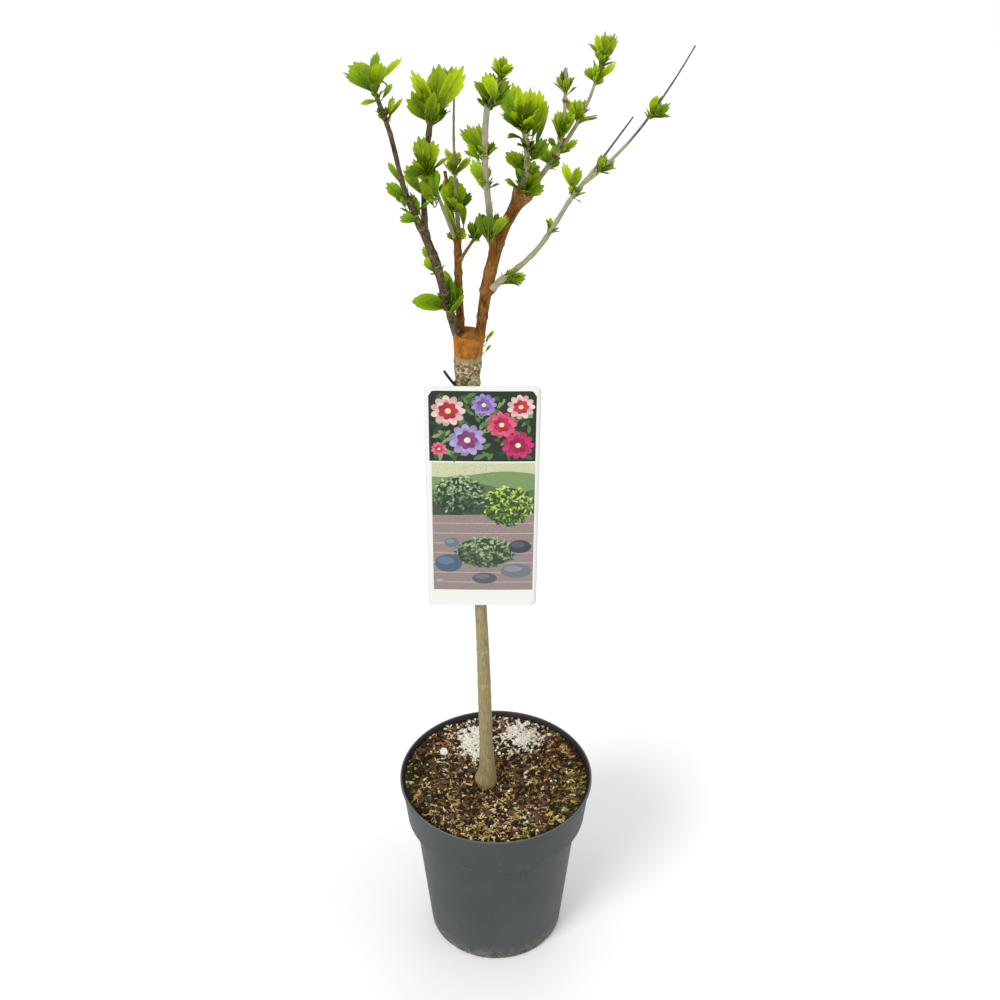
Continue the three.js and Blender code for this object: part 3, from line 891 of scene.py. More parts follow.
# %% Lead leaves
TUFTS = {
    # name: (limb, share of its length, its lead leaves)
    # a lead leaf: right mm, up mm, angle, length mm, width mm, towards the eye, roll
    "left_tip": ("left_limb", 1, [
        (-4, 18, -55, 21, 12, -15, 0), (-3, 20, 2, 22, 7, -15, 10), (4, 17, 42, 22, 7, -5, 30),
        (-1, 9, 24, 20, 11, 35, -25), (-5, 7, -59, 23, 8, 10, -20), (0, -1, -100, 13, 4, 15, 10),
        (6, 4, 35, 9, 4, 20, 0),
    ]),
    "left_tip_side": ("left_limb", 0.91, [
        (3, 6, 2, 13, 5, 10, 0), (6, 8, 45, 11, 4, 20, 20), (2, 7, 37, 11, 4, 40, 0),
    ]),
    "inner_tip": ("left_inner_limb", 1, [
        (-2, 4, -38, 24, 17, 20, 15), (1, 16, -30, 29, 11, 15, 25), (2, 17, -8, 30, 12, -20, 10),
        (5, 16, 1, 33, 14, 0, 0), (9, 17, 11, 32, 14, -10, -10), (8, 15, 42, 34, 15, 10, -15),
        (8, 18, 33, 31, 13, -20, -10), (-2, 4, 24, 27, 8, 45, -20), (2, 4, 38, 15, 4, 30, 0),
    ]),
    "grey_top": ("grey_shoot", 1, [
        (3, 3, -15, 23, 9, 10, 15), (4, 4, 2, 22, 11, 0, 0), (2, 4, -32, 19, 7, 25, 25),
        (5, 2, 29, 20, 8, 15, -15), (3, 2, 24, 17, 7, 45, 0), (2, 4, 12, 22, 9, 34, 10),
        (6, 7, 24, 17, 8, 30, -10), (-3, 2, -34, 6, 3, 20, 0),
    ]),
    "grey_tip": ("grey_twig", 1, [
        (0, 3, -26, 13, 5, 10, 20), (1, 4, 3, 14, 7, 0, 0), (1, 2, 39, 11, 7, 15, -15),
        (-5, -9, -10, 13, 10, 12, 0),
    ]),
    "grey_middle": ("grey_shoot", 0.67, [
        (-6, 9, -50, 19, 7, 10, 10), (-5, 9, -19, 19, 10, 5, 0), (-4, 9, 4, 23, 8, -15, -10),
        (-5, 2, -68, 12, 4, 20, 20), (-5, 0, -31, 16, 5, 30, 0),
    ]),
    "grey_low": ("grey_shoot", 0.47, [
        (-4, 6, -27, 18, 10, 15, 10), (-2, 4, 16, 15, 5, 0, -25), (-3, 1, -24, 9, 5, 35, 0),
    ]),
    "twig_left_tip": ("centre_twig_left", 1, [
        (-2, 5, -22, 27, 13, 5, 10), (-2, 5, -11, 24, 10, -15, 0), (-2, 5, 6, 24, 13, 0, -10),
        (4, 7, 41, 13, 4, 0, 20), (-3, -4, -33, 18, 11, 25, 10), (-11, -7, -35, 17, 10, 5, 15),
        (4, -11, -2, 17, 8, 10, 0),
    ]),
    "twig_left_low": ("centre_twig_left", 0.71, [
        (-5, -5, -26, 20, 12, 25, 0), (-1, 2, -6, 19, 8, 5, -20), (-1, -4, -106, 9, 4, 35, 0),
    ]),
    "left_inner": ("left_limb", 0.52, [
        (2, 5, -23, 17, 6, 15, 10), (1, 5, -6, 11, 4, 35, 0), (4, 9, 50, 8, 3, 0, 0),
    ]),
    "left_outer": ("left_limb", 0.58, [
        (-6, 5, -44, 16, 10, 15, 0), (-4, 6, -10, 14, 4, 5, 20), (-10, 22, -25, 13, 5, 0, 15),
        (-4, -1, -17, 8, 4, 30, 0), (1, -11, -65, 11, 9, -25, 0),
    ]),
    "centre_collar": ("centre_limb", 1, [
        (-1, 2, -60, 9, 6, 20, 0), (0, 1, 56, 10, 7, 25, 0), (1, 2, 18, 10, 6, 0, -20),
    ]),
    "tall_low": ("centre_twig_tall", 0.2, [
        (-4, 1, -10, 27, 17, 10, 10), (-2, 1, 3, 23, 18, 15, -5), (5, -7, -2, 14, 7, 0, -20),
        (-3, -11, -28, 21, 5, 5, 20), (0, -1, 20, 10, 8, 40, 0),
    ]),
    "tall_middle": ("centre_twig_tall", 0.47, [
        (-1, 9, -35, 14, 5, 0, 10), (0, 7, 0, 11, 9, 10, 0), (2, 9, 20, 11, 4, -10, 0),
        (-1, 1, -22, 11, 5, 15, 0), (2, 1, 41, 16, 6, 15, -10),
    ]),
    "side_twig_tip": ("centre_twig_side", 0.99, [
        (0, 1, -15, 14, 6, 10, 0), (2, 1, 1, 18, 6, 0, 0), (4, 2, 13, 18, 5, -10, 0),
    ]),
    "grey_foot": ("grey_shoot", 0.12, [
        (-3, -2, 4, 31, 9.6, 51, 0), (1, -2, 25, 28, 8.6, 48, -20), (-4, -2, -22, 30, 9.2, 50, 0),
        (-3, 1, -61, 11, 4, 35, 0),
    ]),
    "left_low_up": ("left_limb", 0.1, [
        (1, 11, -11, 25, 10, 5, 10), (5, 10, 1, 25, 8, 0, -10), (2, 1, 33, 20, 6, 35, -45),
        (2, 9, 0, 15, 5, 45, 0),
    ]),
    "left_low_side": ("left_limb", 0.13, [
        (-1, 0, -73, 28, 14, 10, 0),
    ]),
    "left_back_small": ("left_limb", 0.28, [
        (-8, 12, -31, 11, 6, 0, 10), (-5, 3, -38, 11, 9, 10, 0),
    ]),
    "low_foot": ("low_branch", 0.11, [
        (2, -3, 68, 19, 9, 0, -10), (1, -2, 54, 18, 5, -20, 0),
    ]),
    "upright_foot": ("upright_shoot", 0.09, [
        (2, 1, 28, 23, 14, 15, -10), (4, -3, 69, 15, 11, 20, 0), (3, 0, 6, 20, 8, 45, 0),
    ]),
    "upright_left": ("upright_shoot", 0.37, [
        (-3, 5, -45, 17, 11, 15, 0), (-1, -3, -37, 11, 4, 30, 0), (-6, 3, -49, 9, 2, 10, 0),
        (-2, 8, -10, 11, 6, -10, 0),
    ]),
    "upright_right": ("upright_shoot", 0.73, [
        (5, -4, 39, 20, 11, -10, 0), (10, 15, 17, 22, 5, -20, 30), (4, -5, 72, 8, 2, -10, 0),
        (4, -3, 4, 17, 9, -25, 10),
    ]),
    "upright_top": ("upright_shoot", 1, [
        (-4, 8, -27, 34, 13, 5, 20), (-4, 15, -13, 29, 12, -10, 10), (-2, 5, -8, 30, 11, 14, 0),
        (2, 7, 4, 29, 10, 26, -15), (7, 9, 11, 29, 11, 0, 0), (7, 3, 17, 24, 9, 20, -20),
        (-3, 4, -22, 18, 8, 35, 15), (3, 3, 2, 15, 6, 50, 0),
    ]),
    "tan_low": ("tan_branch", 0.27, [
        (-1, 3, -42, 11, 5, 10, 10), (1, 3, -16, 11, 7, 25, 0), (5, 4, 1, 14, 8, 10, 0),
        (3, 3, 100, 8, 5, 30, 0), (4, 17, -17, 7, 5, 0, 0),
    ]),
    "tan_low_side": ("tan_branch", 0.37, [
        (3, 1, 57, 16, 6, 5, 0), (2, 0, 51, 7, 3, 25, 0),
    ]),
    "twig_foot": ("tan_twig", 0.16, [
        (-2, 3, -10, 20, 7, 5, 15), (-1, 3, 5, 20, 11, 15, 0), (1, 3, 18, 20, 9, 5, -15),
        (0, 2, 38, 20, 5, 10, -20),
    ]),
    "twig_middle": ("tan_twig", 0.7, [
        (-2, 3, -33, 11, 4, 10, 0), (-1, 2, -5, 17, 7, 5, 0), (1, 2, 19, 12, 5, 0, -15),
        (-1, 1, 12, 12, 5, 35, 0),
    ]),
    "tan_middle": ("tan_branch", 0.6, [
        (-1, 4, -31, 17, 6, 10, 15), (-1, 3, -5, 16, 8, 5, 0), (1, 3, 9, 15, 6, 20, 0),
        (2, 6, 23, 16, 4, -15, -20),
    ]),
    "tan_high": ("tan_branch", 0.88, [
        (-1, 1, -31, 12, 7, 10, 10), (0, 2, 3, 12, 6, 20, 0), (3, 4, 25, 13, 6, -10, 0),
        (3, 3, 49, 18, 6, 10, -20),
    ]),
    "tan_tip": ("tan_branch", 1, [
        (1, 9, -24, 16, 6, 10, 20), (3, 9, 2, 17, 8, 15, 0), (3, 10, 18, 18, 9, -15, 0),
        (4, 10, 27, 17, 8, 5, -15), (5, 8, 39, 16, 6, 15, -20), (0, 4, -42, 8, 4, 20, 0),
    ]),
    "low_bud": ("low_branch", 0.54, [
        (1, 1, -1, 11, 4, 10, 0), (1, 0, 13, 7, 3, -20, 0),
    ]),
    "low_middle": ("low_branch", 0.81, [
        (-1, 10, -25, 17, 7, 10, 15), (1, 9, 29, 14, 8, 10, -15), (0, 9, 13, 12, 6, -25, 0),
        (0, 2, -17, 7, 4, 25, 0),
    ]),
    "low_fork": ("low_twig_long", 0.11, [
        (-2, -2, 21, 15, 7, 15, 0), (2, 0, 50, 12, 7, -10, 0), (3, -1, 71, 8, 2, 20, 0),
        (0, -1, 6, 11, 5, 40, 0),
    ]),
    "low_far": ("low_twig_long", 0.53, [
        (2, 1, 5, 14, 7, 5, 15), (2, 0, 36, 14, 10, -10, 0), (2, -1, 56, 16, 6, 10, -20),
        (1, 0, 28, 13, 6, 40, 0),
    ]),
    "graft_bud": ("trunk", 0.985, [
        (17, 3, 38, 7, 3, 5, 0), (16, 1, 12, 5, 2.4, 10, 0), (16, -7, 36, 5, 2.6, 5, 0),
    ]),
}
count = sum(len(leads) for _, _, leads in TUFTS.values())
print(len(TUFTS), "tufts with", count, "lead leaves")

# %% [markdown]
# ## From numbers to directions
#
# The board has three directions: right, up along its lean, and towards the eye. A leaf's angle
# turns its midrib on the board, its sixth number tips it out of the board, and its roll turns
# it about its own midrib. Three directions at right angles come out, and the blade's points are
# measured along them.

# %% The board and a leaf's directions
BOARD_RIGHT = np.array((1, 0, 0))
BOARD_UP = np.array((0, math.sin(LOOKS_DOWN), math.cos(LOOKS_DOWN)))
BOARD_NEAR = np.cross(BOARD_RIGHT, BOARD_UP)


def turned(first, second, degrees):
    """Two directions turned in their plane, the first towards the second."""
    cos, sin = math.cos(math.radians(degrees)), math.sin(math.radians(degrees))
    return cos * first + sin * second, cos * second - sin * first


def on_board(angle, near, roll):
    """A leaf's side, midrib and upper face."""
    way, _ = turned(BOARD_UP, BOARD_RIGHT, angle)
    way, face = turned(way, BOARD_NEAR, near)
    side, face = turned(np.cross(way, face), face, roll)
    return side, way, face


def square_to(way):
    """Two directions square to this one and to each other."""
    first = np.cross(way, (0, 0, 1) if abs(way[2]) < 0.9 else (1, 0, 0))
    first /= np.linalg.norm(first)
    return first, np.cross(way, first)


def round_limb(way, turn, lean, roll):
    """The same as on_board for a leaf that leans out from its limb, turned round it."""
    across, _ = turned(*square_to(way), turn)
    along, inward = turned(way, across, lean)
    side, face = turned(np.cross(along, -inward), -inward, roll)
    return side, along, face


# %% Places on limbs
def on_limb(name, share):
    """The point at a share of the way along a limb as it left the CAD, and the way it grows."""
    line = lines[name][0]
    low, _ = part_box(name)
    foot = int(np.argmax(line[:, 2] > low.z))
    spot = foot + share * (len(line) - 1 - foot)
    index = min(int(round(spot)), len(line) - 2)
    way = line[index + 1] - line[index]
    return line[index], way / np.linalg.norm(way)


def main_limb(name):
    """The limb on the stem that this one belongs to."""
    while LIMBS[name][0] not in (None, "trunk"):
        name = LIMBS[name][0]
    return "right_limb" if name == "trunk" else name


# %% Stalks and buds
STALK_SIDES = 6
STALK_STEPS = np.linspace(0, 1, 6)[:, None]
BUD = ((0.5, 0), (0.95, 0.25), (1, 0.5), (0.7, 0.8), (0.2, 1))  # width and rise of its rings


def pipe(line, radii, sides=STALK_SIDES):
    """A closed thin tube along a line."""
    ways = np.gradient(line, axis=0)
    way = ways.mean(0) / np.linalg.norm(ways.mean(0))
    first, second = square_to(way)
    ring = np.outer(np.cos(circle(sides)), first) + np.outer(np.sin(circle(sides)), second)
    points = line[:, None, :] + np.asarray(radii)[:, None, None] * ring[None]
    return points.reshape(-1, 3), closed_faces(len(line), sides)


def bent(start, leave, end, arrive):
    """A curve that leaves its start one way and reaches its end another."""
    pull = 0.4 * np.linalg.norm(end - start)
    points = (start, start + leave * pull, end - arrive * pull, end)
    t = STALK_STEPS
    weights = ((1 - t) ** 3, 3 * t * (1 - t) ** 2, 3 * t**2 * (1 - t), t**3)
    return sum(weight * point for weight, point in zip(weights, points))


def knob(place, way, radius, length):
    """A bud: a short tube that swells and then closes."""
    line = np.array([place + way * length * rise for _, rise in BUD])
    return pipe(line, [radius * width for width, _ in BUD], 7)


# %% [markdown]
# ## Growing the tufts
#
# The lead leaves of a tuft are placed first. Then a seeded rule fills the tuft in: more leaves
# stand round the limb, each turned by the golden angle from the one before, as leaves are in
# nature, so that none hides the next. Those in front and behind stand side on, so the tufts
# are as full from the sides as from the front. Every leaf gets a stalk that leaves its own
# limb and runs on as a midrib under the blade. Narrow bracts and green buds sit at the foot.

# %% A tuft and its tints
SHADED = list(TINTS).index("shaded")  # the other four come before it
PLAIN_TINT = list(TINTS).index("green")
PLAIN_TUFTS = ("left_low_side", "left_low_up")  # their leaves have no lobes
OWN_TINT_SHARE = 0.6  # a tuft's leaves that surely have its own tint


class Tuft:
    """A tuft's place, its tint, and the heaps that its leaves and stalks go to."""

    def __init__(self, name, heaps, dice):
        self.name = name
        self.limb, share, self.leads = TUFTS[name]
        self.place, self.way = on_limb(self.limb, share)
        self.leaves, self.stalks = heaps
        self.dice = dice
        self.own_tint = dice.randrange(SHADED)
        self.lobed = name not in PLAIN_TUFTS

    def tint(self, shaded_share=0.0):
        """The number of the next leaf's tint."""
        alike = self.dice.random() < OWN_TINT_SHARE
        drawn = self.own_tint if alike else self.dice.randrange(SHADED)
        if self.dice.random() < shaded_share:
            return SHADED
        return drawn if self.lobed else PLAIN_TINT


# %% A leaf with its stalk
def grow_leaf(tuft, foot, directions, length, width, cup, tint, lobed):
    """Adds a blade to the tuft, with a stalk that runs on as its midrib. Sizes are in mm."""
    local = blade(length * MM, width * MM, cup, tuft.dice, lobed)
    points = foot + local @ np.array(directions)
    tuft.leaves.add(points, BLADE_FACES, [tint * TONES_A_TINT + ring for ring in FACE_RINGS])
    _, way, face = directions
    line = lines[tuft.limb][0]
    start = line[np.linalg.norm(line - foot, axis=1).argmin()]
    leave = (foot - start) / np.linalg.norm(foot - start)
    stalk = bent(start, leave, foot, way)
    rib = points[MIDRIB[1:-1]] - face * 0.12 * MM
    sizes = np.concatenate([np.linspace(1, 0.75, len(stalk)), np.linspace(0.5, 0.15, len(rib))])
    tuft.stalks.add(*pipe(np.vstack([stalk, rib]), sizes * (0.34 + 0.017 * length) * MM))


# %% Growing the lead leaves
FOOT_WEDGE = 0.6  # how much longer than its lead length a leaf is at its foot
CUP_DOWN = 25  # a leaf that leans further to the eye than this shows its folded back
IN_FRONT = {"grey_foot": 8}  # mm by which lead leaves stand before their limb
LEAD_SHADED = {"grey_foot": 0.5, "side_twig_tip": 0.6}  # share of the leads with the shaded tint


def grow_leads(tuft):
    for right, up, angle, length, width, near, roll in tuft.leads:
        out = math.sin(math.radians(near)) * 4 + IN_FRONT.get(tuft.name, 0)
        directions = on_board(angle, near, roll)
        wedge = min(FOOT_WEDGE * length, 0.7 * math.hypot(right, up))
        offset = right * BOARD_RIGHT + up * BOARD_UP + out * BOARD_NEAR - directions[1] * wedge
        grow_leaf(tuft, tuft.place + offset * MM, directions, length + wedge, width,
                  1 if near < CUP_DOWN else -1, tuft.tint(LEAD_SHADED.get(tuft.name, 0)),
                  tuft.lobed and width > 0.3 * length)


# %% Growing the filling leaves
GOLDEN = 137.5  # degrees
OPEN_TUFTS = ("left_tip",)  # their few leaves stand apart
HANGING = ("low_foot",)  # all their filling leaves hang below the limb
FILL_BASE = 2
FILL_BY_LEAD, FILL_OPEN = 2.4, 0.5  # filling leaves for each lead leaf, and in an open tuft
FILL_LONGEST = 25  # mm
FILL_SLENDER = 0.42  # their width as a share of their length
FILL_SHADED = 0.5  # share of the filling leaves that have the shaded tint
FRONT_LIMIT = 0.25  # some leaves that point further to the eye stay small and steep
FRONT_SMALL = 0.6  # the share of them that do
FACE_LIMIT = 0.6  # a leaf that faces the eye or its back more than this is turned side on


def fill_tuft(tuft, turn):
    """Adds leaves round the limb, from this turn on. It returns how many, and the last turn."""
    dice, way = tuft.dice, tuft.way
    longest = min(sum(lead[3] for lead in tuft.leads) / len(tuft.leads), FILL_LONGEST)
    by_lead = FILL_OPEN if tuft.name in OPEN_TUFTS else FILL_BY_LEAD
    count = int(FILL_BASE + len(tuft.leads) * by_lead)
    for _ in range(count):
        turn += GOLDEN
        lean, roll = dice.uniform(12, 48), dice.uniform(-25, 25)
        if tuft.name in HANGING and round_limb(way, turn, 90, 0)[1] @ BOARD_UP > 0:
            turn += 180
        directions = round_limb(way, turn, lean, roll)
        length = longest * dice.uniform(0.7, 1.05)
        if directions[1] @ BOARD_NEAR > FRONT_LIMIT and dice.random() < FRONT_SMALL:
            directions = round_limb(way, turn, lean * 0.7, roll)
            length *= 0.55
        elif abs(directions[2] @ BOARD_NEAR) > FACE_LIMIT:
            directions = round_limb(way, turn, lean, roll + dice.choice((-65, 65)))
        foot = tuft.place + way * dice.uniform(-4, 3) * MM
        foot = foot + directions[1] * dice.uniform(1, 4) * MM
        grow_leaf(tuft, foot, directions, length, FILL_SLENDER * length, 1,
                  tuft.tint(FILL_SHADED), tuft.lobed)
    return count, turn


# %% Growing bracts and buds
BRACTS = 5


def grow_bracts(tuft, turn):
    """Adds narrow bracts at the tuft's foot, with a green bud behind each."""
    dice = tuft.dice
    for _ in range(BRACTS):
        turn += GOLDEN
        directions = round_limb(tuft.way, turn, dice.uniform(10, 50), 0)
        start = tuft.place + tuft.way * dice.uniform(-3, 2) * MM
        foot = start + directions[1] * dice.uniform(1, 3) * MM
        grow_leaf(tuft, foot, directions, dice.uniform(4, 8), dice.uniform(1.2, 2.4), 1,
                  tuft.tint(), False)
        radius, length = dice.uniform(0.7, 1.2) * MM, dice.uniform(3, 5) * MM
        tuft.stalks.add(*knob(start, directions[1], radius, length))


# %% Grow every tuft
LEADS_ONLY = ("graft_bud",)  # a sprout too young for more than its lead leaves

dice = random.Random(7)
heaps = {}
replaced = {}
total = 0
for name, (limb, _, leads) in TUFTS.items():
    group = main_limb(limb)
    tuft = Tuft(name, heaps.setdefault(group, (Heap(), Heap())), dice)
    grow_leads(tuft)
    total += len(leads)
    if name not in LEADS_ONLY:
        filled, turn = fill_tuft(tuft, dice.uniform(0, 360))
        grow_bracts(tuft, turn)
        total += filled + BRACTS
    if f"leaves_{name}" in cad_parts:
        replaced.setdefault(group, []).append(f"leaves_{name}")
for group, (leaves, stalks) in heaps.items():
    leaves.make(f"leaves_on_{group}", leaf_paints, "leaf", replaced[group])
    stalks.make(f"stalks_on_{group}", [stalk_paint], "leaf")
print(total, "leaves")

# %% [markdown]
# ## The pot
#
# A nursery pot is moulded in one piece: a tapered wall, a wider collar that the next pot rests
# on when pots are stacked, and a rim bead for stiffness. Its outline is read off the CAD pot,
# level by level, and turned round the axis again with more sides, so that it looks round close
# up. Modelling it anew by eye could give a wall that the compost pokes through.

# %% Read the wall of a round node
def wall(node, heights):
    """Outer and inner radius of a round node at each height."""
    corners = node_triangles(node)
    found = []
    for height in heights:
        radii = np.hypot(*np.concatenate(cut_ends(corners, height))[:, :2].T)
        outer = radii.max()
        inside = radii[radii < outer - 1 * MM]
        found.append((outer, inside.max() if len(inside) else 0))
    return np.array(found).T


def turned_rings(radii, heights, sides):
    """Rings of points round the axis, one for each radius and height."""
    turns = circle(sides)
    radii, heights = np.asarray(radii)[:, None], np.asarray(heights)[:, None]
    return np.stack([radii * np.cos(turns), radii * np.sin(turns), heights * np.ones(sides)], axis=2)


# %% Turn the pot
POT_SIDES = 144
LIP = 0.9 * MM  # the rounding of the rim's top
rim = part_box("pot")[1]
levels = np.concatenate([np.arange(0.4, 187, 2.0), np.arange(188, 193.2, 0.6)]) * MM
outer, inner = wall("pot", levels)
kept = (inner > 0) & (levels < rim.z - 4 * MM)
inside_levels, inner = levels[kept][::-1], inner[kept][::-1]
bend = np.radians((10, 40, 70, 100, 130, 160))
lip_radii = rim.x - LIP + LIP * np.cos(bend)
lip_levels = rim.z - LIP + LIP * np.sin(bend)
radii = np.concatenate([[0.5 * MM, outer[0] - 2 * MM], outer, lip_radii, inner, [0.5 * MM]])
heights = np.concatenate([[0, 0], levels, lip_levels, inside_levels, [inside_levels[-1]]])
pot_points = turned_rings(radii, heights, POT_SIDES)
is_inside = np.arange(len(radii)) >= len(radii) - len(inner) - 2
print(len(radii), "rings of", POT_SIDES, "points")

# %% [markdown]
# The drain slots sit in the corner between wall and floor, so that water can leave a pot that
# stands flat. Each is a short dent here. Dust and splashes dry on the foot, the top of the rim has a
# painted highlight, and the inner wall has painted shade, so the plastic's colour changes with
# height as well as with noise.

# %% Drain dents
SLOTS = 8
SLOT_DEPTH = 1.6 * MM
SLOT_HEIGHT, SLOT_REACH = 4, 3  # the middle of a dent and half its height, in mm
SLOT_WIDE = 0.035  # half a dent's width, in gaps between dents
SLANT = 0.012  # radians that a dent turns in each mm up

for ring, height in enumerate(heights[:len(levels) + 2]):
    away = (circle(POT_SIDES) + SLANT * height / MM + 0.3) * SLOTS / (2 * math.pi) % 1 - 0.5
    dent = SLOT_DEPTH * bell(away, 0, SLOT_WIDE) * bell(height / MM, SLOT_HEIGHT, SLOT_REACH)
    pot_points[ring, :, :2] *= (1 - dent / radii[ring])[:, None]
print(SLOTS, "drain dents")

# %% Plastic, dust, a painted highlight on the rim and painted shade inside
pot_paint = Paint("grey_plastic", 0.5, 0.3)
place = own_place(pot_paint)
level = pot_paint.node("ShaderNodeSeparateXYZ", {}, {0: place}, out=2)
tone = mixed(between(cloud(place, 9, 3), 0.35, 0.65), srgb(54, 59, 60), srgb(65, 69, 69))
scuffs = cloud(place, 330, 4, 0.7, (1, 1, 0.25))
tone = mixed(between(scuffs, 0.62, 0.74) * 0.35, tone, srgb(112, 114, 112))
on_foot = between(level, 0.022, 0.002)
tone = mixed(on_foot * between(cloud(place, 130, 4, 0.7), 0.36, 0.68), tone, srgb(108, 108, 95))
tone = mixed(on_foot * between(cloud(place, 560, 1), 0.68, 0.73), tone, srgb(196, 192, 172))
# painted highlight: the top of the rim is lighter, where it catches the light
tone = mixed(between(level, 0.1926, 0.194) * 0.5, tone, srgb(112, 114, 108))
# painted shade: the inner wall is darker, where the pot shades it
tone = mixed(field(pot_paint, "inside"), tone, srgb(34, 34, 31))
pot_paint.set("Base Color", tone)
grain = cloud(place, 1600, 3)
pot_paint.set("Roughness", 0.44 + grain * 0.16)
bumped(grain + scuffs, 0.06 * MM)
make_piece("pot_shell", pot_points.reshape(-1, 3), closed_faces(len(radii), POT_SIDES),
           [pot_paint], ["pot"], fields={"inside": np.repeat(is_inside * 1.0, POT_SIDES)})

# %% [markdown]
# ## The compost
#
# The bed is a shallow dish, lower round the stem where water gathers, and it has shrunk from
# the wall at the front left. It is a disc of rings with noise for its relief, and goes down to
# the pot's floor as the real one does. Fields mark the two patches that have a colour of their
# own: lime or mould behind the stem, and moss along the rim.

# %% Patches
WHITE = ((-25, 61, 15), (25, 65, 17), (-20, 44, 10))  # x, y and reach of patches, in mm
MOSS = ((-86, 8, 22), (-78, -26, 16), (80, -12, 22), (66, -48, 18), (30, -78, 16))
RED_BITS = ((-48, 68, 22), (64, 40, 20), (10, 84, 18), (-70, 50, 14))


def patchy(x, y, patches):
    """1 in the middle of a patch, falling to 0 round it."""
    found = 0
    for middle_x, middle_y, reach in patches:
        found = found + np.exp(-(((x - middle_x) ** 2 + (y - middle_y) ** 2) / reach**2))
    return np.minimum(found, 1)


# %% The shape of the bed
DISH = 26 * MM  # the flat middle
HEAPED = 2.6 * MM  # how far loose bits lie over the bed along the wall
SHRUNK = math.radians(-142)  # the side where the bed has left the wall
SHRUNK_BY = 7  # mm that it has sunk there
stem_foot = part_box("trunk")[0].z
bed_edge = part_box("compost")[1]


def bed_height(x, y):
    """The top of the bed at these places, in metres."""
    radius = np.hypot(x, y)
    rise = np.clip((radius - DISH) / (bed_edge.x - DISH), 0, 1)
    height = stem_foot + (bed_edge.z + HEAPED - stem_foot) * rise
    spots = np.stack([x, y, 0 * x], axis=-1).reshape(-1, 3)
    rough = (1.1 * grit(spots, 130) + 0.7 * grit(spots, 420) - 0.5).reshape(x.shape)
    gap = bell(np.arctan2(y, x) - SHRUNK, 0, 0.22) * np.clip((radius / MM - 80) / 6, 0, 1)
    rough = rough * np.clip(radius / MM / 12, 0.2, 1) - SHRUNK_BY * gap
    return height + np.minimum(rough, 1) * MM


BED_SIDES = 200
rows = np.linspace(0.5 * MM, bed_edge.x, 76)
bed = turned_rings(rows, np.zeros(len(rows)), BED_SIDES)
bed[:, :, 2] = bed_height(bed[:, :, 0], bed[:, :, 1])
side_levels = np.array((170, 150, 149, 141, 140.5, 90, 40, 3)) * MM
side = turned_rings(wall("compost", side_levels)[0], side_levels, BED_SIDES)
bed_points = np.concatenate([bed, side]).reshape(-1, 3)
print("the bed rises", round((bed_edge.z - stem_foot) / MM, 1), "mm to its edge")

# %% The bed and its colours
x, y = bed_points[:, 0] / MM, bed_points[:, 1] / MM
on_top = bed_points[:, 2] > 175 * MM
bed_fields = {"white": patchy(x, y, WHITE) * on_top, "moss": patchy(x, y, MOSS)}

bed_paint = Paint("compost_bed", 0.92, 0.1)
place = own_place(bed_paint)
grains = cloud(place, 480, 5, 0.7)
tone = mixed(between(grains, 0.36, 0.66), srgb(24, 14, 6), srgb(80, 54, 30))
moss_share = field(bed_paint, "moss") * between(cloud(place, 260, 3), 0.4, 0.6)
tone = mixed(moss_share, tone, srgb(62, 74, 24))
crust = cloud(place, 210, 4, 0.7) + field(bed_paint, "white") * 0.45
bed_paint.set("Base Color", mixed(between(crust, 0.56, 0.68), tone, srgb(236, 228, 198)))
bed_paint.set("Roughness", 0.8 + grains * 0.18)
bumped(grains, 1.2 * MM)
make_piece("compost_bed", bed_points, closed_faces(len(rows) + len(side_levels), BED_SIDES),
           [bed_paint], ["compost"], fields=bed_fields)

# %% [markdown]
# ## What lies on the compost
#
# Bark compost is a jumble of bark chips, straw-coloured shreds, moss and a few white crumbs of
# perlite. Each kind is strewn by the same rule with its own size, colour and places. Every bit
# is a small bent slab of its own, and not a speck in a texture, because the bits throw the tiny
# shadows that make compost look loose.

# %% Kinds of bits
BITS = {
    # kind: (how many, shortest and longest mm, width and thickness as shares of the length,
    #        colour, share that lies anywhere, patches where it lies as well)
    "dark_bark": (1000, 2.5, 8, 0.55, 0.3, srgb(50, 32, 18), 1, ()),
    "brown_bark": (600, 2.5, 8, 0.5, 0.25, srgb(92, 66, 40), 1, ()),
    "plum_bark": (260, 3, 8, 0.6, 0.25, srgb(92, 68, 62), 0.5, ((-44, 4, 20), (10, -30, 30))),
    "straw": (900, 3, 9, 0.2, 0.08, srgb(168, 144, 84), 0.5, ((0, -50, 45), (60, -20, 30))),
    "pale_straw": (600, 3, 10, 0.22, 0.09, srgb(206, 188, 142), 0.4, ((-60, -20, 30), (10, -60, 40))),
    "yellow_flake": (45, 4, 8, 0.5, 0.06, srgb(190, 148, 52), 0.3, ((8, -18, 14), (20, -44, 16))),
    "red_shred": (420, 3, 9, 0.2, 0.1, srgb(150, 106, 70), 0.05, RED_BITS),
    "moss_leaf": (1100, 1.5, 4.5, 0.26, 0.12, srgb(96, 104, 34), 0.12, MOSS),
    "dark_moss": (260, 1.5, 4, 0.4, 0.3, srgb(30, 50, 20), 0.0, ((-80, 4, 12),)),
    "white_crumb": (1300, 0.8, 3.2, 0.9, 0.6, srgb(234, 228, 204), 0.002, WHITE),
    "perlite": (34, 1.4, 3.0, 0.9, 0.8, srgb(240, 238, 230), 0.3, ((-40, 34, 16), (34, 44, 20))),
}
BIT_NUMBERS = {kind: number for number, kind in enumerate(BITS)}
litter_paints = []
for kind, (*_, colour, _, _) in BITS.items():
    paint = Paint(f"compost_{kind}", 0.85, 0.12)
    dark = [value * 0.55 for value in colour]
    light = [min(value * 1.35, 0.9) for value in colour]
    paint.set("Base Color", mixed(between(cloud(own_place(paint), 700), 0.3, 0.7), dark, light))
    litter_paints.append(paint)
print(len(BITS), "kinds of bits")

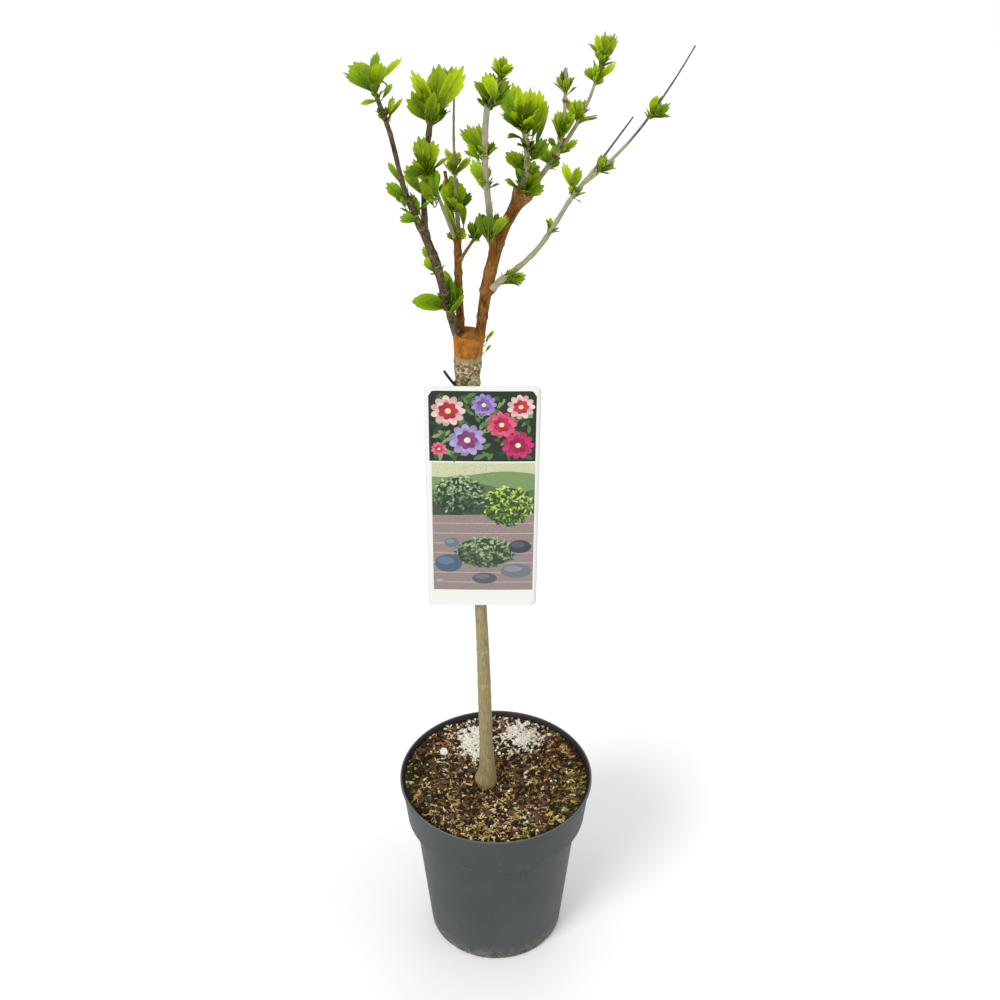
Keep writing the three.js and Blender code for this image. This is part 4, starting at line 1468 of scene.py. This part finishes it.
# %% One bit and its place
BIT_FACES = closed_faces(3, 4)
STEM_X = -8  # the foot of the stem, in mm
STEM_CLEAR = 7  # mm round it where no bit lies
CORNERS = ((-1, -1), (1, -1), (1, 1), (-1, 1))


def bit(place, way, up, size, bow, dice):
    """A slab of three cross-sections that bows up in the middle."""
    length, width, thick = size
    side = np.cross(way, up)
    points = []
    for share, wide in ((-0.5, dice.uniform(0.3, 0.9)), (0, 1), (0.5, dice.uniform(0.2, 0.9))):
        middle = place + way * length * share - up * bow * abs(share)
        for across, high in CORNERS:
            points.append(middle + (side * across * width * wide + up * high * thick) / 2)
    return points


def strewn(dice, base, patches):
    """A seeded place on the bed, likelier in the patches than elsewhere."""
    reach = bed_edge.x / MM - 3
    while True:
        x, y = dice.uniform(-reach, reach), dice.uniform(-reach, reach)
        near_stem = math.hypot(x - STEM_X, y) < STEM_CLEAR
        if math.hypot(x, y) < reach and not near_stem and dice.random() < base + patchy(x, y, patches):
            return x * MM, y * MM


# %% Strew them
DUSTED = 0.75  # the share of the bits in a white patch that are white themselves
dice = random.Random(23)
litter = Heap()
for kind, (amount, shortest, longest, width, thick, _, base, patches) in BITS.items():
    spots = np.array([strewn(dice, base, patches) for _ in range(amount)])
    for (x, y), height in zip(spots, bed_height(*spots.T)):
        length = dice.uniform(shortest, longest) * MM
        size = (length, length * width * dice.uniform(0.6, 1.3), length * thick)
        turn = dice.uniform(0, 360)
        up = np.array((dice.gauss(0, 0.35), dice.gauss(0, 0.35), 1))
        up /= np.linalg.norm(up)
        way, _ = turned(*square_to(up), turn)
        heaped = dice.uniform(0, 1.3) + 1.2 * (math.hypot(x, y) > 0.9 * bed_edge.x)
        place = np.array((x, y, height + heaped * MM))
        bow = length * dice.uniform(0, 0.3)
        dusted = patchy(x / MM, y / MM, WHITE) > 0.45 and dice.random() < DUSTED
        paint = BIT_NUMBERS["white_crumb" if dusted else kind]
        litter.add(bit(place, way, up, size, bow, dice), BIT_FACES, paint)
print(len(litter.faces) // len(BIT_FACES), "bits")

# %% [markdown]
# A few things are big enough to be known by sight: a cube of perlite left of the stem, and flat
# chips of stone or bark in front of it. They are listed one by one where they lie.

# %% Larger pieces
LARGER = (
    # kind, x, y, length, width, thickness in mm, turn in degrees
    ("perlite", -53, 38, 7.4, 9.5, 6, 20),
    ("plum_bark", -52, -3, 10, 5, 1.8, 0),
    ("plum_bark", -20, -32, 8, 5, 2, 10),
    ("white_crumb", -31, 20, 4.6, 3, 2, 30),
    ("straw", -76, -24, 8, 5, 2.2, 65),
    ("brown_bark", 52, 8, 8, 4, 2, 40),
)
for kind, x, y, *size, turn in LARGER:
    way, _ = turned(np.array((1, 0, 0)), np.array((0, 1, 0)), turn)
    up = np.array((0, -0.2, 0.98))
    spot = np.array((x, y)) * MM
    height = bed_height(spot[:1], spot[1:])[0] + 1.2 * MM
    points = bit(np.array((*spot, height)), way, up, np.array(size) * MM, 0.1 * MM, random.Random(3))
    litter.add(points, BIT_FACES, BIT_NUMBERS[kind])
litter.make("compost_litter", litter_paints, "compost", smooth=False)

# %% [markdown]
# ## The card
#
# The card hangs on the stem by its tie. It is a sheet of plastic-coated paper with rounded
# corners, and it bows out a little, as any card does after a week outdoors. It hangs slightly
# askew, so its long and short axes are taken from the spread of the CAD card's points. Sheets
# and motifs are laid out flat in those axes, which is far easier than in the plant's own.

# %% The card's own axes
card_points = node_points("label_card")
card_middle = (card_points.min(0) + card_points.max(0)) / 2
_, _, axes = np.linalg.svd(card_points - card_middle, full_matrices=False)
card_up = axes[0] * np.sign(axes[0][2])
card_right = axes[1] * np.sign(axes[1][0])
card_front = np.cross(card_right, card_up)
spans = (card_points - card_middle) @ np.array([card_right, card_up, card_front]).T
half_wide, half_high, half_thick = spans.max(0)
CORNER = 5 * MM
BOW = 0.8 * MM
COATED = (0.42, 0.4)  # roughness and shine of coated paper
print("the card is", round(2 * half_wide / MM, 1), "by", round(2 * half_high / MM, 1), "mm")


def on_card(x, y, lift):
    """Points at these distances right and up from the card's middle, lifted off its face."""
    x, y = np.asarray(x)[..., None], np.asarray(y)[..., None]
    out = BOW * (1 - (x / half_wide) ** 2) + lift
    return card_middle + x * card_right + y * card_up + out * card_front


# %% Card body
COLUMNS = 25
drop = CORNER * (1 - np.cos(np.linspace(0, math.pi / 2, 7)))
rows = np.concatenate([-half_high + drop, [-half_high / 2, 0, half_high / 2], half_high - drop[::-1]])
into_corner = np.clip(np.abs(rows) - (half_high - CORNER), 0, CORNER)
widths = half_wide - CORNER + np.sqrt(CORNER**2 - into_corner**2)
grid_x = widths[:, None] * np.linspace(-1, 1, COLUMNS)
grid_y = rows[:, None] * np.ones(COLUMNS)
card_sheets = np.stack([on_card(grid_x, grid_y, lift) for lift in (-half_thick, half_thick)])

count = len(rows) * COLUMNS
back = [face[::-1] for face in sheet_faces(len(rows), COLUMNS)]
border = [*range(COLUMNS), *range(2 * COLUMNS - 1, count, COLUMNS)]
border += [*range(count - 2, count - COLUMNS - 1, -1), *range(count - 2 * COLUMNS, 0, -COLUMNS)]
edge = [(a, b, b + count, a + count) for a, b in zip(border, border[1:] + border[:1])]
card_faces = back + sheet_faces(len(rows), COLUMNS, count) + edge

card_paint = Paint("card_white", *COATED)
fibre = cloud(own_place(card_paint), 900, 3)
card_paint.set("Base Color", mixed(fibre, srgb(219, 221, 215), srgb(229, 231, 226)))
bumped(fibre, 0.02 * MM)
make_piece("card_body", card_sheets.reshape(-1, 3), card_faces, [card_paint], ["label_card"])

# %% [markdown]
# ## The print
#
# The print is a generic one of the usual kind: a bed of round blooms in pink and violet over
# dark leaves on top, and below it green hills, leafy mounds and stones on a pale terrace. Each
# motif is a flat shape that lies a few hundredths of a millimetre over the one before, like
# paper cut-outs, so the print needs no image and stays crisp at any distance.

# %% Inks
INKS = {}
print_paints = []


def ink(colour):
    """The number of the print's paint of this colour."""
    key = tuple(colour)
    if key not in INKS:
        paint = Paint(f"ink_{len(INKS)}", *COATED)
        fleck = cloud(own_place(paint), 1400)
        dark = srgb(*(value * 0.86 for value in key))
        paint.set("Base Color", mixed(between(fleck, 0.35, 0.65), dark, srgb(*key)))
        INKS[key] = len(print_paints)
        print_paints.append(paint)
    return INKS[key]


def paler(colour, by):
    return [min(255, value + by) for value in colour]


# %% Shapes of the print
LAYER = 0.03 * MM
motifs = Heap()


def panel(left, right, low, high, layer, colour):
    """A flat area with a given outline. low and high may be functions of x."""
    x = np.linspace(left, right, 31)
    grid = np.stack([bound(x) if callable(bound) else bound + 0 * x for bound in (low, high)])
    points = on_card(np.stack([x, x]) * MM, grid * MM, half_thick + layer * LAYER)
    motifs.add(points.reshape(-1, 3), sheet_faces(2, len(x)), ink(colour))


def spot(x, y, wide, high, layer, colour, turn=0.0, corners=14, point=1.0):
    """A rounded shape, or a leaf with a point at both ends when point is over 1."""
    angles = circle(corners)
    across = wide / 2 * np.cos(angles)
    up = high / 2 * np.sign(np.sin(angles)) * np.abs(np.sin(angles)) ** point
    cos, sin = math.cos(turn), math.sin(turn)
    points = on_card((x + across * cos - up * sin) * MM, (y + across * sin + up * cos) * MM,
                     half_thick + layer * LAYER)
    motifs.add(points, [tuple(range(corners))], ink(colour))


# %% Dark leaves behind the blooms
TOP_LEFT, TOP_RIGHT, TOP_LOW, TOP_HIGH = -45.3, 45, 40, 108  # mm from the card's middle
ROUND = CORNER / MM
LEAF_INKS = ((34, 62, 30), (56, 92, 44), (88, 124, 66), (24, 44, 24), (128, 158, 100))
PRINTED_LEAVES = 230
dice = random.Random(5)


def rounded_top(x):
    """The upper edge of a picture whose corners are rounded like the card's."""
    away = np.maximum(np.abs(x - (TOP_LEFT + TOP_RIGHT) / 2) - (TOP_RIGHT - TOP_LEFT) / 2 + ROUND, 0)
    return TOP_HIGH - ROUND + np.sqrt(np.maximum(ROUND**2 - away**2, 0))


panel(TOP_LEFT, TOP_RIGHT, TOP_LOW, rounded_top, 1, (20, 36, 20))
for number in range(PRINTED_LEAVES):
    x, y = dice.uniform(-41, 41), dice.uniform(44, 104)
    wide = dice.uniform(5, 11)
    spot(x, y, wide, wide * 0.42, 2 + number % 9 * 0.1, dice.choice(LEAF_INKS),
         dice.uniform(0, math.pi), 12, 1.6)
print(PRINTED_LEAVES, "printed leaves")

# %% Blooms
BLOOMS = (
    # x, y, radius in mm, outer ink, inner ink, heart ink
    (-29, 89, 15, (244, 204, 196), (190, 36, 54), (250, 226, 150)),
    (1, 95, 11, (168, 146, 210), (132, 96, 178), (244, 222, 160)),
    (-13, 61, 16, (182, 164, 220), (140, 60, 130), (246, 230, 180)),
    (16, 76, 13, (236, 90, 130), (200, 24, 80), (252, 226, 170)),
    (32, 93, 12, (248, 208, 200), (204, 44, 64), (250, 220, 140)),
    (30, 56, 14, (214, 40, 110), (168, 10, 76), (252, 234, 190)),
    (-37, 52, 7, (238, 120, 150), (206, 50, 96), (250, 226, 160)),
)
for x, y, radius, outer_ink, inner_ink, heart_ink in BLOOMS:
    rings = ((0.66, 11, outer_ink), (0.42, 9, outer_ink), (0.26, 7, inner_ink))
    for ring, (share, petals, colour) in enumerate(rings):
        for petal in range(petals):
            turn = 2 * math.pi * (petal + ring * 0.5) / petals
            tint = [int(value * (1 - 0.09 * (petal % 3))) for value in colour]
            spot(x + radius * share * math.cos(turn), y + radius * share * math.sin(turn),
                 radius * 0.66, radius * 0.44, 3 + ring + petal % 4 * 0.12, tint, turn, 12)
    spot(x, y, radius * 0.34, radius * 0.34, 7, heart_ink)
print(len(BLOOMS), "blooms")

# %% Hills and terrace
LOW_LEFT, LOW_RIGHT, LOW_LOW, LOW_HIGH = -43.6, 45, -95, 38.5  # mm from the card's middle


def hill(height, rise, pace, shift):
    """The outline of a hill."""
    return lambda x: height + rise * np.sin(x / pace + shift)


GROUNDS = (
    # upper edge, ink, from the sky down to the terrace
    (LOW_HIGH, (206, 208, 168)),
    (hill(27, 3, 17, 0.4), (124, 152, 96)),
    (hill(14, 4, 13, 2.2), (84, 116, 66)),
    (hill(1, 2.5, 21, 1.0), (58, 74, 56)),
    (hill(-14, 1, 30, 0.0), (150, 134, 130)),
)
for layer, (top, colour) in enumerate(GROUNDS, 1):
    panel(LOW_LEFT, LOW_RIGHT, LOW_LOW, top, layer, colour)
for board in range(7):
    y = -24 - board * 10.5
    panel(LOW_LEFT, LOW_RIGHT, y, y + 1.2, 6, (184, 168, 162))
print(len(GROUNDS), "grounds and the joints of the terrace")

# %% Mounds
MOUNDS = (
    # x, y, half width, half height in mm, how many dabs, inks from dark to light
    (-20, 6, 22, 20, 260, ((34, 58, 34), (66, 98, 58), (120, 150, 104), (176, 196, 150))),
    (22, -5, 22, 21, 270, ((44, 72, 30), (92, 128, 40), (150, 184, 60), (206, 220, 120))),
    (2, -54, 27, 17, 280, ((48, 66, 44), (84, 108, 70), (130, 152, 108), (170, 184, 140))),
)
BODY_SHARE = 0.87  # a mound's dark body is this much of its size


def mound_edge(x, y, wide, high):
    """The outline of a mound's body. high is below 0 for its lower half."""
    return lambda at: y + high * BODY_SHARE * np.sqrt(1 - ((at - x) / wide) ** 2)


for x, y, wide, high, dabs, inks in MOUNDS:
    reach = BODY_SHARE * wide
    panel(x - reach, x + reach, mound_edge(x, y, wide, -high), mound_edge(x, y, wide, high), 7, inks[0])
    for dab in range(dabs):
        turn, out = dice.uniform(0, 2 * math.pi), math.sqrt(dice.random())
        dab_x, dab_y = wide * out * math.cos(turn), high * out * math.sin(turn)
        light = 0.5 + 0.35 * dab_y / high + dice.gauss(0, 0.22)
        colour = inks[max(0, min(3, int(light * 4)))]
        spot(x + dab_x, y + dab_y, 4, 1.8, 8 + dab % 9 * 0.1, colour, dice.uniform(0, math.pi), 8, 1.5)
print(len(MOUNDS), "mounds")

# %% Stones
STONES = (
    # x, y, width, height in mm, ink
    (-30, -66, 24, 19, (74, 96, 118)),
    (-27, -44, 13, 10, (104, 118, 130)),
    (30, -74, 27, 15, (112, 118, 122)),
    (33, -48, 20, 14, (58, 64, 76)),
    (2, -82, 22, 12, (84, 90, 98)),
    (-37, -86, 11, 8, (146, 140, 138)),
)
for x, y, wide, high, colour in STONES:
    spot(x, y, wide, high, 9.4, colour, corners=28)
    spot(x - wide * 0.1, y + high * 0.16, wide * 0.62, high * 0.45, 9.8, paler(colour, 26), corners=22)
motifs.make("card_print", print_paints, "card")

# %% [markdown]
# ## The tie
#
# A length of black hollow rubber goes round the stem just under the graft. Its free end stands
# up on the left, and a flat knot in front holds the card. The ring is centred on the stem's
# line, and its size and the free end's tip are taken from the CAD tie.

# %% Where the tie is
WIRE = 1.2 * MM
TIE_SIDES = 12
RING_RISE = 12 * MM  # the ring lies within this much of the tie's lowest point
tie_points = node_points("label_tie")
tie_low, tie_high = tie_points.min(0), tie_points.max(0)
near_low = tie_points[tie_points[:, 2] < tie_low[2] + RING_RISE]
ring_level = (tie_low[2] + near_low[:, 2].max()) / 2
stem_line = lines["trunk"][0]
ring_middle = stem_line[int(np.argmax(stem_line[:, 2] > ring_level))]
ring_radius = tie_high[0] - WIRE - ring_middle[0]
print("the tie's ring is", round(2 * ring_radius / MM, 1), "mm across")

# %% Ring
turns = circle(72)
around = np.stack([np.cos(turns), np.sin(turns), 0 * turns], axis=1)
wave = 0.3 * MM * np.sin(turns * 3)[:, None] * (0, 0, 1)
spins = circle(TIE_SIDES)[None, :, None]
loop = ring_middle + around * ring_radius + wave
tube = loop[:, None, :] + WIRE * (around[:, None, :] * np.cos(spins) + np.sin(spins) * (0, 0, 1))
size = len(turns) * TIE_SIDES
tie = Heap()
joined = [tuple(corner % size for corner in face) for face in tube_faces(len(turns) + 1, TIE_SIDES)]
tie.add(tube.reshape(-1, 3), joined)

# %% Free end
TAIL_FOOT = math.radians(215)
tip = tie_points[tie_points[:, 2] > tie_high[2] - 1 * MM].mean(0)
foot = ring_middle + ring_radius * np.array((math.cos(TAIL_FOOT), math.sin(TAIL_FOOT), 0))
shares = np.linspace(0, 1, 14)[:, None]
sag = np.sin(shares * math.pi) * (-0.8 * MM, 0, 0.5 * MM)
tail_radii = WIRE * np.concatenate([np.ones(12), [0.95, 0.75]])
tie.add(*pipe(foot + (tip - foot) * shares + sag, tail_radii, TIE_SIDES))

# %% Knot and rubber
KNOT_Y = (card_middle[1] + ring_middle[1] - ring_radius) / 2  # between the card and the ring
KNOT_PITCH = 2.6 * MM
span = np.array((4 * MM, 0, 0.4 * MM))
for row in (-1, 0, 1):
    middle = np.array((ring_middle[0], KNOT_Y, ring_level + row * KNOT_PITCH))
    bar = middle + np.array((-1, -0.5, 0, 0.5, 1))[:, None] * span
    tie.add(*pipe(bar, WIRE * np.array((0.5, 0.9, 1, 0.9, 0.5)), TIE_SIDES))

tie_paint = Paint("black_rubber", 0.55, 0.4)
speck = cloud(own_place(tie_paint), 1200, 3)
tie_paint.set("Base Color", mixed(speck, srgb(14, 14, 15), srgb(32, 32, 33)))
tie_paint.set("Roughness", 0.45 + speck * 0.25)
bumped(speck, 0.05 * MM)
tie.make("tie_loop", [tie_paint], "tie", ["label_tie"])

# %% [markdown]
# ## Measure
#
# The finished plant is measured against the box of its CAD model, on each side of each axis.
# The finished plant has to stay in the box of its CAD model, give or take the tip of a leaf,
# because shelves and parcels are planned with that size.

# %% Sizes
full_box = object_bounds()
for axis, letter in enumerate("XYZ"):
    below = (cad_box[0][axis] - full_box[0][axis]) / MM
    above = (full_box[1][axis] - cad_box[1][axis]) / MM
    print(f"{letter}: {below:.1f} mm past the CAD box below, {above:.1f} mm above")
